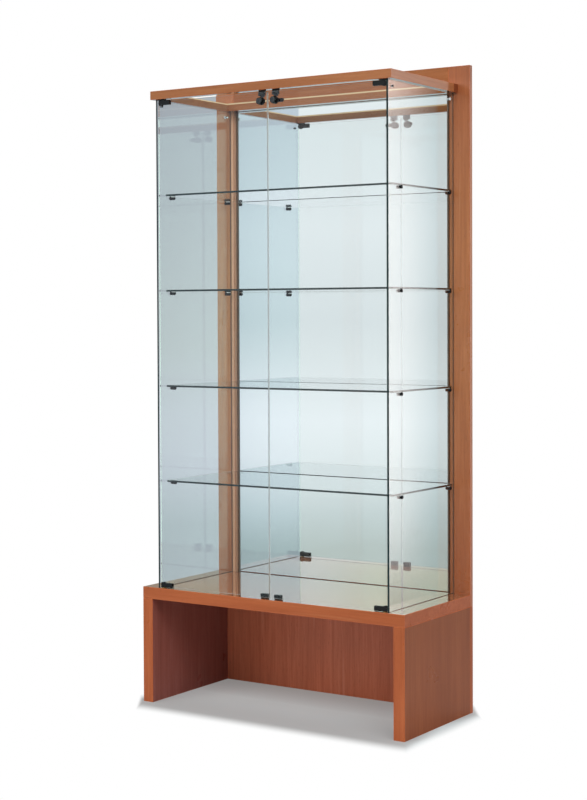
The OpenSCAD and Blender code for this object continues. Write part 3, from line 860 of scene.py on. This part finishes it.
mirror = {"arris": 0.0008, "rim": 0.4095}
mirrorPane = soften(nodeBlock("mirrorPane", "mirror_pane"), mirror["arris"], 1)
for x in (-mirror["rim"], mirror["rim"]):
    cutAt(mirrorPane, (x, 0, 0), (1, 0, 0))
# the outer strips of the mirror face take the dark bead finish: painted shade of the gap beside the stiles
finishPiece(mirrorPane, "case", "mirror_glass", "mirror_pane", "mirror",
            ("bead", lambda centre, normal: abs(centre.x) > mirror["rim"]), ("edge", aside("y", flat)),
            ("paint", faces("+y", flat)))
print("glass and mirror")


# outlines of round pieces as (radius, height) steps

def roundBar(radius, low, high, foot, head):
    # foot and head list how far each step lies inside the radius and inside the end
    return [(radius - inset, low + up) for inset, up in foot] + [(radius - inset, high - down) for inset,
                                                                 down in head]


def dome(radius, low, thick, steps):
    return [(radius * share, low + thick * up) for share, up in steps]


sharp = ((0, 0),)                                                # an end without a chamfer

# shelf pegs inside the side glass, caps outside it
shelfPeg = {"radius": 0.0060, "length": 0.0120, "foot": ((0.0006, 0), (0, 0.0006)), "sides": 28,
            "head": ((0, 0.0010), (0.0003, 0.0004), (0.0010, 0)), "socket": 0.0026, "socketDeep": 0.0018,
            "flatUp": 0.0050, "pad": (0.0014, 0.0041), "padEnds": (0.0006, 0.0004), "padSunk": 0.0003,
            "padRound": 0.0003, "padBand": (0.0001, 0.0065), "stud": 0.0025, "studFrom": -0.0005,
            "studOut": 0.0085, "studHead": ((0, 0.0006), (0.0005, 0)), "studSides": 20}
cap = {"thick": 0.0040, "foot": ((0.0003, 0), (0, 0.0004)), "sides": 32,
       "dome": ((1, 0.55), (0.95, 0.76), (0.80, 0.92), (0.55, 1))}
padThick, padHalf = shelfPeg["pad"]


def pegAt(y, z):
    sizes = shelfPeg
    radius, long, seat = sizes["radius"], sizes["length"], z + sizes["flatUp"] - padThick
    peg = turned("peg", roundBar(radius, 0, long, sizes["foot"], sizes["head"]), (glassIn, y, z), "-X",
                 sizes["sides"])
    selectFaces(peg, faces("-x", flat))                          # round socket in the end
    bpy.ops.mesh.inset(thickness=radius - sizes["head"][-1][0] - sizes["socket"])
    bpy.ops.mesh.extrude_region_move(TRANSFORM_OT_translate={"value": (sizes["socketDeep"], 0, 0)})
    bpy.ops.mesh.select_all(action="SELECT")                     # flat under the pad
    bpy.ops.mesh.bisect(plane_co=(glassIn, y, seat), plane_no=(0, 0, 1), use_fill=True, clear_outer=True)
    leaveEdit()
    stud = turned("stud",
                  roundBar(sizes["stud"], sizes["studFrom"], sizes["studOut"], sharp, sizes["studHead"]),
                  (glassIn, y, z), "X", sizes["studSides"])
    farEnd, nearEnd = sizes["padEnds"]
    pad = soften(block("pad", (glassIn - long + farEnd, y - padHalf, seat - sizes["padSunk"]),
                       (glassIn - nearEnd, y + padHalf, z + sizes["flatUp"])), sizes["padRound"])
    return combine(peg, [stud, pad], "UNION")


def domedCap(name, radius, place):
    outline = roundBar(radius, 0, 0, cap["foot"], ()) + dome(radius, 0, cap["thick"], cap["dome"])
    return turned(name, outline, place, "X", cap["sides"])


def onPad(centre, normal):
    low, high = shelfPeg["padBand"]
    return any(z + shelfPeg["flatUp"] - padThick + low < centre.z < z + high for y, z in pegSpots)


firstY, firstZ = pegSpots[0]
pegMoves = [(0, y - firstY, z - firstZ) for y, z in pegSpots]
pegs = pair(spread(pegAt(firstY, firstZ), "pegsRight", pegMoves), "shelfPegs")
firstCap = domedCap("cap", shelfPeg["radius"], (glassOut, firstY, firstZ))
caps = pair(spread(firstCap, "capsRight", pegMoves), "shelfCaps")
finishPiece(pegs, "case", "black_plastic", "shelf_pegs", "plastic", ("pad", onPad))
finishPiece(caps, "case", "black_plastic", "shelf_caps", "plastic")
print("shelf pegs and caps")

# ties near the top of the back, with white caps, and the small bolts near the front
tie = {"barrel": 0.0040, "barrelLong": 0.0060, "foot": ((0.0006, 0), (0, 0.0006)), "sides": 28,
       "head": ((0, 0.0012), (0.0004, 0.0003), (0.0014, 0)), "rod": 0.0015, "rodEnd": 0.438,
       "rodHead": ((0, 0.0006), (0.0005, 0)), "stud": 0.0025, "studFrom": -0.001, "studOut": 0.0085,
       "studHead": ((0, 0.0005), (0.0005, 0)), "thinSides": 20, "cap": 0.0050}
barrel = turned("tie", roundBar(tie["barrel"], 0, tie["barrelLong"], tie["foot"], tie["head"]),
                (glassIn, tieY, tieZ), "-X", tie["sides"])
bar = turned("tieRod", roundBar(tie["rod"], 0, front + tie["rodEnd"] - tieY, sharp, tie["rodHead"]),
             (glassIn - tie["barrelLong"] / 2, tieY, tieZ), "Y", tie["thinSides"])
stud = turned("tieStud", roundBar(tie["stud"], tie["studFrom"], tie["studOut"], sharp, tie["studHead"]),
              (glassIn, tieY, tieZ), "X", tie["thinSides"])
ties = pair(combine(barrel, [bar, stud], "UNION"), "glassTies")
finishPiece(ties, "case", "bright_tie", "glass_ties", "bright")
tieCaps = pair(domedCap("tieCap", tie["cap"], (glassOut, tieY, tieZ)), "tieCaps")
finishPiece(tieCaps, "case", "white_cap", "tie_caps", "white")

sideBolt = {"nut": 0.0035, "nutFoot": ((0.0005, 0), (0, 0.0005)), "thick": 0.0024, "stud": 0.0025,
            "head": 0.0037, "dome": ((1, 0), (1, 0.5), (0.9, 0.85), (0.7, 1)), "socket": 0.0014,
            "socketLong": 0.0028, "sides": 28}
boltThick, glassThick, hexagon = sideBolt["thick"], glassOut - glassIn, 6
bolt = turned("bolt", roundBar(sideBolt["nut"], -boltThick, 0, sideBolt["nutFoot"], sharp)
              + roundBar(sideBolt["stud"], 0, glassThick, sharp, sharp)
              + dome(sideBolt["head"], glassThick, boltThick, sideBolt["dome"]), (glassIn, boltY, boltZ),
              "X", sideBolt["sides"])
combine(bolt,
        [rod("socket", (glassOut + boltThick, boltY, boltZ), sideBolt["socket"], sideBolt["socketLong"],
             "X", hexagon)])
finishPiece(pair(bolt, "sideBolts"), "case", "black_metal", "side_bolts", "metal")
print("ties and bolts")

# hinges: a leaf that grips the corner of a door, its pin, screws, lower bush and upper bracket
hinge = {"glass": 0.006, "round": 0.0005, "roundMid": 0.3, "tight": 0.00002, "barHigh": 0.015,
         "boss": 0.0090, "bossSides": 40, "webHigh": 0.0025, "webEnd": 0.0002, "webSide": 0.0004,
         "webRound": 0.0003, "boreRoom": 0.0001, "boreLong": 0.012, "midZ": 1.18925, "pin": 0.0030,
         "pinFoot": ((0.0007, 0), (0, 0.0008)), "pinHead": ((0, 0.0005), (0.0004, 0)),
         "screwX": (0.0300, 0.0216), "screwUp": 0.0088, "shank": 0.0020, "head": 0.0035,
         "headThick": 0.0020, "dome": ((1, 0), (1, 0.45), (0.9, 0.8), (0.65, 1)), "hex": 0.0013,
         "hexLong": 0.0022, "sides": 28}
leafLow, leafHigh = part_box("leaf_bottom_right")
leafFoot = leafLow[2]
plate = (leafHigh[1] - leafLow[1] - hinge["glass"]) / 2


def leafPlate(y):
    edge, tight = hinge["round"], hinge["tight"]                 # tight keeps joined faces out of one plane
    mid = edge * hinge["roundMid"]
    bar = soften(block("plate", (leafLow[0], y + tight, leafFoot + tight),
                       (pivotX, y + plate - tight, leafFoot + hinge["barHigh"])), edge)
    outline = roundBar(hinge["boss"], 0, plate, ((edge, 0), (mid, mid), (0, edge)),
                       ((0, edge), (mid, mid), (edge, 0)))
    boss = turned("boss", outline, (pivotX, y, leafFoot + hinge["boss"]), "Y", hinge["bossSides"])
    return combine(bar, [boss], "UNION")


def overhead(obj, name):
    # the same piece at the other end of the door
    return flipped(obj, name, (1, 1, -1), (0, 0, hinge["midZ"]))


leafBottomRight = leafPlate(leafLow[1])
web = soften(block("web", (leafLow[0] + hinge["webEnd"], leafLow[1] + hinge["webSide"], leafFoot),
                   (leafHigh[0], leafHigh[1] - hinge["webSide"], leafFoot + hinge["webHigh"])),
             hinge["webRound"])
combine(leafBottomRight, [leafPlate(leafHigh[1] - plate), web], "UNION")
combine(leafBottomRight,
        [rod("bore", (pivotX, pivotY, leafFoot), hinge["pin"] + hinge["boreRoom"], hinge["boreLong"])])
settle(leafBottomRight, "leafBottomRight")
leafTopRight = overhead(leafBottomRight, "leafTopRight")
bothSides(leafBottomRight, "leafBottomLeft", "{}_door", "black_metal", "leaf_bottom_{}", "metal")
bothSides(leafTopRight, "leafTopLeft", "{}_door", "black_metal", "leaf_top_{}", "metal")

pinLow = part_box("hinge_pins_right")[0][2]
pin = turned("pin",
             roundBar(hinge["pin"], 0, leafFoot + hinge["webHigh"] - pinLow, hinge["pinFoot"],
                      hinge["pinHead"]),
             (pivotX, pivotY, pinLow), "Z", hinge["sides"])
pinsRight = joined([pin, overhead(pin, "pinTop")], "hingePinsRight")
bothSides(pinsRight, "hingePinsLeft", "{}_door", "steel", "hinge_pins_{}", "steel")

screwZ = leafFoot + hinge["screwUp"]
hexScrew = turned("hexScrew", roundBar(hinge["shank"], -plate, 0, sharp, sharp)
                  + dome(hinge["head"], 0, hinge["headThick"], hinge["dome"]),
                  (pivotX, leafHigh[1], screwZ), "Y", hinge["sides"])
combine(hexScrew,
        [rod("hex", (pivotX, leafHigh[1] + hinge["headThick"], screwZ), hinge["hex"], hinge["hexLong"],
             "-Y", hexagon)])
lowScrews = spread(hexScrew, "lowScrews", [(-x, 0, 0) for x in hinge["screwX"]])
screwsRight = joined([lowScrews, overhead(lowScrews, "highScrews")], "hingeScrewsRight")
bothSides(screwsRight, "hingeScrewsLeft", "{}_door", "black_metal", "hinge_screws_{}", "metal")

bush = {"tube": 0.0050, "foot": ((0.0004, 0), (0, 0.0005)), "flange": 0.0070,
        "head": ((0, 0.0003), (0.0004, 0)), "bore": 0.00305, "boreLong": 0.019, "sides": 36,
        "boreSides": 28}
bushLow, bushHigh = [corner[2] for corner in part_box("pivot_bushes")]
bushSeat = deckHigh[2] - bushLow
bushRight = turned("bush", roundBar(bush["tube"], 0, bushSeat, bush["foot"], sharp)
                   + roundBar(bush["flange"], bushSeat, bushHigh - bushLow, sharp, bush["head"]),
                   (pivotX, pivotY, bushLow), "Z", bush["sides"])
combine(bushRight,
        [rod("bore", (pivotX, pivotY, deckHigh[2]), bush["bore"], bush["boreLong"], "Z",
             bush["boreSides"])])
finishPiece(pair(bushRight, "pivotBushes"), "case", "brass", "pivot_bushes", "brass")

# brackets take the same small screws as the rear panel
bracket = {"round": 0.0004, "screwIn": 0.0085, "screwApart": 0.0060, "boreLong": 0.02,
           "sink": ((0.0003, -0.0003), (0.0002, 0)), "sinkDeep": (0.0016, 0.006)}
bracketRight = soften(nodeBlock("bracketRight", "hinge_bracket_right"), bracket["round"])
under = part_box("hinge_bracket_right")[0][2]
screwX = pivotX - bracket["screwIn"]
screwYs = [pivotY + step * bracket["screwApart"] for step in (-1, 1)]
sinkOutline = ([(panelScrew["head"] + wider, up) for wider, up in bracket["sink"]]
               + [(panelScrew["shank"], up) for up in bracket["sinkDeep"]])
rooms = [turned("sink", sinkOutline, (screwX, y, under), "Z", screwShape["sides"]) for y in screwYs]
rooms.append(rod("bore", (pivotX, pivotY, under), bush["bore"], bracket["boreLong"], "Z",
                 bush["boreSides"]))
combine(bracketRight, rooms)
bothSides(bracketRight, "bracketLeft", "case", "black_metal", "hinge_bracket_{}", "metal")
bracketScrew = crossScrew("bracketScrew", panelScrew, (screwX, screwYs[0], under), "-Z")
screwPair = spread(bracketScrew, "bracketPair", [(0, y - screwYs[0], 0) for y in screwYs])
finishPiece(pair(screwPair, "bracketScrews"), "case", "steel", "bracket_screws", "steel")
print("hinges")

# keepers under the front rail, magnetic catches on the base, strikes on the doors
keeper = {"from": 0.0135, "to": 0.0385, "lip": 0.00833, "lipTop": 1.9810, "lipThick": 0.0020,
          "blockLow": 1.9800, "round": 0.0008, "turns": 3, "angle": 35}
keepLow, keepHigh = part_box("keepers")
middle = (keeper["from"] + keeper["to"]) / 2
keeperRight = block("keeper", (keeper["from"], keepLow[1], keeper["blockLow"]),
                    (keeper["to"], keepHigh[1], keepHigh[2]))
lip = block("lip", (middle - keeper["lip"], keepHigh[1] - keeper["lipThick"], keepLow[2]),
            (middle + keeper["lip"], keepHigh[1], keeper["lipTop"]))
softenByAngle(combine(keeperRight, [lip], "UNION"), keeper["round"], keeper["turns"], keeper["angle"])
finishPiece(pair(keeperRight, "keeperBlocks"), "case", "black_plastic", "keepers", "plastic")

catch = {"poleApart": 0.00625, "pole": 0.0010, "poleRound": 0.0003, "slack": 0.0001, "slotFront": 0.002,
         "round": 0.0010, "turns": 3}
catchLow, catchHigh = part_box("catches")
poleLow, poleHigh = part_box("catch_poles")
catchRight = soften(block("catch", (keeper["from"], *catchLow[1:]), (keeper["to"], *catchHigh[1:])),
                    catch["round"], catch["turns"])
slots, poles = [], []
half, slack = catch["pole"], catch["slack"]
for x in (middle - catch["poleApart"], middle + catch["poleApart"]):
    slots.append(block("slot", (x - half - slack, poleLow[1] - catch["slotFront"], poleLow[2] - slack),
                       (x + half + slack, poleHigh[1] + slack, poleHigh[2] + slack)))
    poles.append(soften(block("pole", (x - half, *poleLow[1:]), (x + half, *poleHigh[1:])),
                        catch["poleRound"]))
combine(catchRight, slots)
finishPiece(pair(catchRight, "catchBlocks"), "case", "black_plastic", "catches", "plastic")
finishPiece(pair(joined(poles, "polePair"), "catchPoles"), "case", "steel", "catch_poles", "steel")

strike = {"rim": 0.0016, "deep": 0.0003, "round": 0.00025, "turns": 2, "angle": 50}
strikeRight = nodeBlock("strikeRight", "strike_right")
selectFaces(strikeRight, faces("+y"))                            # raised edge along the plate
bpy.ops.mesh.inset(thickness=strike["rim"])
bpy.ops.mesh.extrude_region_move(TRANSFORM_OT_translate={"value": (0, -strike["deep"], 0)})
leaveEdit()
softenByAngle(strikeRight, strike["round"], strike["turns"], strike["angle"])
bothSides(strikeRight, "strikeLeft", "{}_door", "black_metal", "strike_{}", "metal")
print("keepers, catches and strikes")

# cam locks: collar and nut on the glass, a knob with grip notches, and the cam
lock = {"collar": 0.0120, "collarFoot": ((0.0010, 0), (0.0003, 0.0004), (0, 0.0010)), "collarThick": 0.004,
        "tube": 0.0085, "glass": 0.006, "nutThick": 0.006, "nutHead": ((0, 0.0008), (0.0008, 0)),
        "nutNotch": (0.0012, 0.0018), "notchUp": 0.35, "notchOut": 0.002, "bore": 0.00605, "boreMid": 0.008,
        "boreLong": 0.03, "sides": 48, "boreSides": 40}
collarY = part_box("lock_body_right")[0][1]
collar, nutFrom = lock["collar"], lock["collarThick"] + lock["glass"]
nutTo = nutFrom + lock["nutThick"]
lockBodyRight = turned("lockBodyRight", roundBar(collar, 0, lock["collarThick"], lock["collarFoot"], sharp)
                       + roundBar(lock["tube"], lock["collarThick"], nutFrom, sharp, sharp)
                       + roundBar(collar, nutFrom, nutTo, sharp, lock["nutHead"]), (lockX, collarY, lockZ),
                       "Y", lock["sides"])
notchHalf, notchDeep = lock["nutNotch"]
notches = []
for degrees in (45, 135, 225, 315):
    notch = block("cut",
                  (collar - notchDeep, collarY + nutFrom + lock["nutThick"] * lock["notchUp"], -notchHalf),
                  (collar + lock["notchOut"], collarY + nutTo + past, notchHalf))
    notch.rotation_euler, notch.location = (0, math.radians(degrees), 0), (lockX, 0, lockZ)
    notches.append(settle(notch))
combine(lockBodyRight,
        [joined(notches, "cuts"), rod("bore", (lockX, collarY + lock["boreMid"], lockZ), lock["bore"],
                                      lock["boreLong"], "-Y", lock["boreSides"])])

knob = {"radius": 0.0105, "thick": 0.0077, "face": ((0.62, 0), (0.84, 0.0004), (0.96, 0.0014), (1, 0.0028)),
        "rear": ((0, 0.0008), (0.0007, 0)), "barrel": 0.0060, "sides": 56, "grips": 14, "grip": 0.0011,
        "gripOut": 0.0003, "gripMid": 0.62, "gripLong": 0.7, "gripSides": 12,
        "key": (0.0011, 0.0068, 0.0016), "polished": 0.0100}
turnLow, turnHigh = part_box("lock_turn_right")
knobY, knobThick = turnLow[1], knob["thick"]
lockTurnRight = turned("lockTurnRight", [(knob["radius"] * share, up) for share, up in knob["face"]]
                       + roundBar(knob["radius"], 0, knobThick, (), knob["rear"])
                       + roundBar(knob["barrel"], knobThick, turnHigh[1] - knobY, sharp, sharp),
                       (lockX, knobY, lockZ), "Y", knob["sides"])
grips, gripRing = [], knob["radius"] + knob["gripOut"]
for number in range(knob["grips"]):
    angle = 2 * math.pi * number / knob["grips"]
    place = (lockX + gripRing * math.cos(angle), knobY + knobThick * knob["gripMid"],
             lockZ + gripRing * math.sin(angle))
    grips.append(rod("grip", place, knob["grip"], knobThick * knob["gripLong"], "-Y", knob["gripSides"]))
keyWide, keyHigh, keyDeep = knob["key"]
key = block("key", (lockX - keyWide / 2, knobY - past, lockZ - keyHigh / 2),
            (lockX + keyWide / 2, knobY + keyDeep, lockZ + keyHigh / 2))
combine(lockTurnRight, [joined(grips, "grips"), key])

camPlate = {"long": 0.027, "half": 0.006, "thick": 0.0025, "round": 0.0003, "near": 0.00002, "far": 0.00014,
            "tipLess": 0.0001, "tipSides": 40}
camHalf, camRound = camPlate["half"], camPlate["round"]
camTip, camY = lockX + camPlate["long"] - camHalf, turnHigh[1] - camPlate["thick"]
cam = soften(block("cam", (lockX, camY + camPlate["near"], lockZ - camHalf),
                   (camTip, turnHigh[1] - camPlate["far"], lockZ + camHalf)), camRound)
tipOutline = roundBar(camHalf, 0, turnHigh[1] - camY - camPlate["tipLess"], ((camRound, 0), (0, camRound)),
                      ((0, camRound), (camRound, 0)))
combine(cam, [turned("tip", tipOutline, (camTip, camY, lockZ), "Y", camPlate["tipSides"])], "UNION")
combine(lockTurnRight, [cam], "UNION")
bothSides(lockBodyRight, "lockBodyLeft", "{}_door", "black_metal", "lock_body_{}", "metal")
bothSides(lockTurnRight, "lockTurnLeft", "{}_lock", "black_metal", "lock_turn_{}", "metal",
          ("knob", lambda centre, normal: centre.y < front + knob["polished"]))
print("locks")

# dowels stay as they are and take their own wood
dowels = nodes["base_dowels"]
dowels.data.materials.clear()
dowels.data.materials.append(finishes["dowel"])

# pale floor that fades to white around the base, with painted shadow and painted light near it
floorLook = {"radius": 3.6, "sides": 96, "seen": (0.68, 0.78, 0.80), "front": (0.90, 0.90, 0.89),
             "paintedShadowDepth": 0.40, "bounce": (0.80, 0.80, 0.80), "gloss": (0.46, 0.47, 0.48), "fade": (0.025, 0.12),
             "sideFade": 1.6, "tip": (2.84, 1.966), "tipFade": 1.7, "paintedShadowSpan": (-0.32, 0.01), "corner": 4,
             "paintedLightUnderBase": 0.20, "thins": (0.7, 2.2)}
white = (1.0, 1.0, 1.0)

bpy.ops.object.select_all(action="DESELECT")
bpy.ops.mesh.primitive_circle_add(vertices=floorLook["sides"], radius=floorLook["radius"], fill_type="NGON",
                                  location=(0, 0, 0))
floor = bpy.context.object
floor.name = "floor"
finish = Finish("pale floor")
spot, seenRay = finish.node("TexCoord", out="Object"), finish.ray("Is Camera Ray")
spotX, spotY = finish.axes(spot)[:2]
halfX, halfY = cadBox[1][:2]
overX, overY = abs(spotX) - halfX, abs(spotY) - halfY
tipX, tipY = floorLook["tip"]
tip = floorLook["tipFade"] * (abs(spotX * tipX + spotY * tipY) - (halfX * tipX + halfY * tipY))
off = (overX * floorLook["sideFade"]).most(overY).most(tip)      # how far outside the base
# a share of white under and just around the base: painted light that lifts its shade evenly
fade = finish.rise(off, *floorLook["fade"], floorLook["paintedLightUnderBase"])
# painted shadow: the floor's colour darkens from the middle of the base to its front edge and just beyond;
# the bluish tint under the base cancels the reddish light bounced from the wood
shade = finish.rise(overY - floorLook["corner"] * overX.most(0.0), *floorLook["paintedShadowSpan"])
seen = finish.mix(shade, floorLook["seen"], tuple(floorLook["paintedShadowDepth"] * part for part in floorLook["front"]))
tone = finish.mix(finish.ray("Is Diffuse Ray"), finish.mix(seenRay, floorLook["gloss"], seen),
                  floorLook["bounce"])
shown = finish.blend(seenRay * fade, finish.node("BsdfDiffuse", {}, {"Color": tone}),
                     finish.node("Emission", {}, {"Color": white, "Strength": 1.0}))
away = finish.node("VectorMath", {"operation": "LENGTH"}, {0: spot}, out="Value")
gone = finish.rise(away, *floorLook["thins"])                    # no hard far edge in the glass
floor.data.materials.append(finish.close(finish.blend(gone * (1 - seenRay), shown,
                                                      finish.node("BsdfTransparent"))))

# room light by direction; lists run by height, and spans say where a part fades in and out
room = {"level": (0.25, 2.0), "turn": (-0.25, 0.25), "tall": (-0.195, -0.118, 0.20, 0.30),
        "back": [(0.25, (0.47, 0.51, 0.56)), (0.32, (0.62, 0.637, 0.72)), (0.38, (0.63, 0.65, 0.72)),
                 (0.46, (0.57, 0.60, 0.63)), (0.74, (0.46, 0.49, 0.55)), (0.84, (0.34, 0.31, 0.22))],
        "backDim": (-0.65, -0.585, 0.82, 1.0), "rightBack": (0.20, 0.22, 0.24),
        "rightBackSpan": (0.0, 0.40), "window": (4.0, 3.7, 3.6), "windowSpan": (0.470, 0.508, 0.56, 0.64),
        "ahead": [(0.22, (0.60, 0.64, 0.62)), (0.26, (0.71, 0.75, 0.755)), (0.32, (0.96, 0.965, 0.985)),
                  (0.37, (1.04, 1.03, 1.06)), (0.45, (0.92, 0.92, 0.94)), (0.49, (0.87, 0.875, 0.90)),
                  (0.60, (0.965, 0.96, 0.985)), (0.74, (0.90, 0.92, 0.94)), (0.84, (0.90, 0.94, 0.93))],
        "farTint": (0.82, 0.84, 0.86), "farSpan": (-0.60, -0.55),
        "paneDip": [(0.22, (0.80, 0.79, 0.83)), (0.26, (0.98, 0.94, 0.97)), (0.33, (1.18, 1.065, 1.065)),
                    (0.39, (1.17, 1.07, 1.06)), (0.49, (0.93, 0.93, 0.93)), (0.56, (0.945, 0.945, 0.95)),
                    (0.74, (0.81, 0.80, 0.83))],
        "paneTint": (0.81, 0.88, 0.935), "paneSpan": (-0.5491, -0.5478),
        "deckDim": (0.85, 0.90, 0.74), "deckSpan": (-0.545, -0.49), "deckHeight": (0.14, 0.155),
        "nearDim": (0.84, 0.88, 0.885), "nearSpan": (-0.5050, -0.5025), "veil": 0.24,
        "veilEnd": (-0.508, -0.478), "rightAhead": (0.12, 0.13, 0.16), "rightAheadSpan": (0.05, 0.45),
        "sideGlow": (1.20, 1.48, 1.30), "glowSpan": (0.44, 0.50, 0.62, 0.68),
        "glowHeight": (-0.24, -0.18, 0.18, 0.24), "above": (0.62, 0.63, 0.65), "aboveSpan": (0.3, 0.8),
        "spark": (5, 5, 5), "sparkWay": (0.12, -0.72, 0.68), "sparkSpan": (0.988, 0.995)}

world = bpy.data.worlds.new("room")
bpy.context.scene.world = world
air = Finish("room", world)
way = air.node("TexCoord", out="Generated")
wayX, wayY, wayZ = air.axes(way)
bearing = air.axes(air.node("VectorMath", {"operation": "NORMALIZE"},
                            {0: air.times(way, (1.0, 1.0, 0.0))}))[0]


def span(value, start, full, less, end):
    return air.rise(value, start, full) * (1 - air.rise(value, less, end))


lift, stretch = room["level"]
level = (wayZ + lift) * stretch
tall = span(wayZ, *room["tall"])

back = air.scaled(air.ramp(level, *room["back"]), air.rise(wayX, *room["backDim"]))
back = air.mix(air.rise(wayX, *room["rightBackSpan"]), back, room["rightBack"])
back = air.mix(span(wayX, *room["windowSpan"]) * tall, back, room["window"])

ahead = air.times(air.ramp(level, *room["ahead"]),
                  air.mix(air.rise(wayX, *room["farSpan"]), room["farTint"], white))
dip = air.times(air.ramp(level, *room["paneDip"]), room["paneTint"])
ahead = air.times(ahead, air.mix(air.rise(bearing, *room["paneSpan"]), dip, white))
ahead = air.mix(air.rise(wayX, *room["deckSpan"]) * air.rise(wayZ, *room["deckHeight"]), ahead,
                room["deckDim"])
ahead = air.times(ahead, air.mix(air.rise(bearing, *room["nearSpan"]), white, room["nearDim"]))
ahead = air.scaled(ahead, 1 - room["veil"] * span(bearing, *room["nearSpan"], *room["veilEnd"]) * tall)
ahead = air.mix(air.rise(wayX, *room["rightAheadSpan"]), ahead, room["rightAhead"])
ahead = air.mix(span(wayX, *room["glowSpan"]) * span(wayZ, *room["glowHeight"]), ahead, room["sideGlow"])

light = air.mix(air.rise(wayY, *room["turn"]), ahead, back)
light = air.mix(air.rise(wayZ, *room["aboveSpan"]), light, room["above"])
sparkX, sparkY, sparkZ = room["sparkWay"]                        # small bright patch for round black fittings
light = air.mix(air.rise(wayX * sparkX + wayY * sparkY + wayZ * sparkZ, *room["sparkSpan"]), light,
                room["spark"])
light = air.mix(air.ray("Is Camera Ray"), light, white)
air.node("OutputWorld", {}, {"Surface": air.node("Background", {}, {"Color": light, "Strength": 1.0})})

# soft lamps that glass and gloss don't show: place, aim, size and power
lamps = {"ceilingLamp": ((0.10, 0.62, 4.7), (0, -0.1, 0), (0.9, 0.9), 100),
         "keyLamp": ((-2.2, -4.2, 3.2), (0, 0, 0.9), (2.4, 2.4), 58),
         "sideLamp": ((3.6, -2.2, 3.5), (0, 0, 1.2), (2.8, 2.8), 105)}
for name, (place, aim, size, power) in lamps.items():
    bpy.ops.object.select_all(action="DESELECT")
    bpy.ops.object.light_add(type="AREA", location=place)
    lamp = bpy.context.object
    lamp.name = name
    lamp.data.shape, lamp.data.energy = "RECTANGLE", power
    lamp.data.size, lamp.data.size_y = size
    lamp.rotation_euler = (Vector(aim) - Vector(place)).to_track_quat("-Z", "Y").to_euler()
    lamp.visible_glossy = lamp.visible_transmission = False

camera = {"place": (2.98015, -4.57253, 1.29119), "turn": (1.5465447, 0.0038923, 0.5843923), "lens": 75.190,
          "sensor": 36, "shift": (0.000777, -0.05756), "clip": (0.05, 200)}
view = bpy.data.objects.new("camera", bpy.data.cameras.new("camera"))
bpy.context.collection.objects.link(view)
view.location, view.rotation_euler = camera["place"], camera["turn"]
view.data.sensor_fit, view.data.sensor_height, view.data.lens = "VERTICAL", camera["sensor"], camera["lens"]
view.data.shift_x, view.data.shift_y = camera["shift"]
view.data.clip_start, view.data.clip_end = camera["clip"]
bpy.context.scene.camera = view
bpy.context.scene.view_settings.view_transform = "Standard"

print("stage ready")
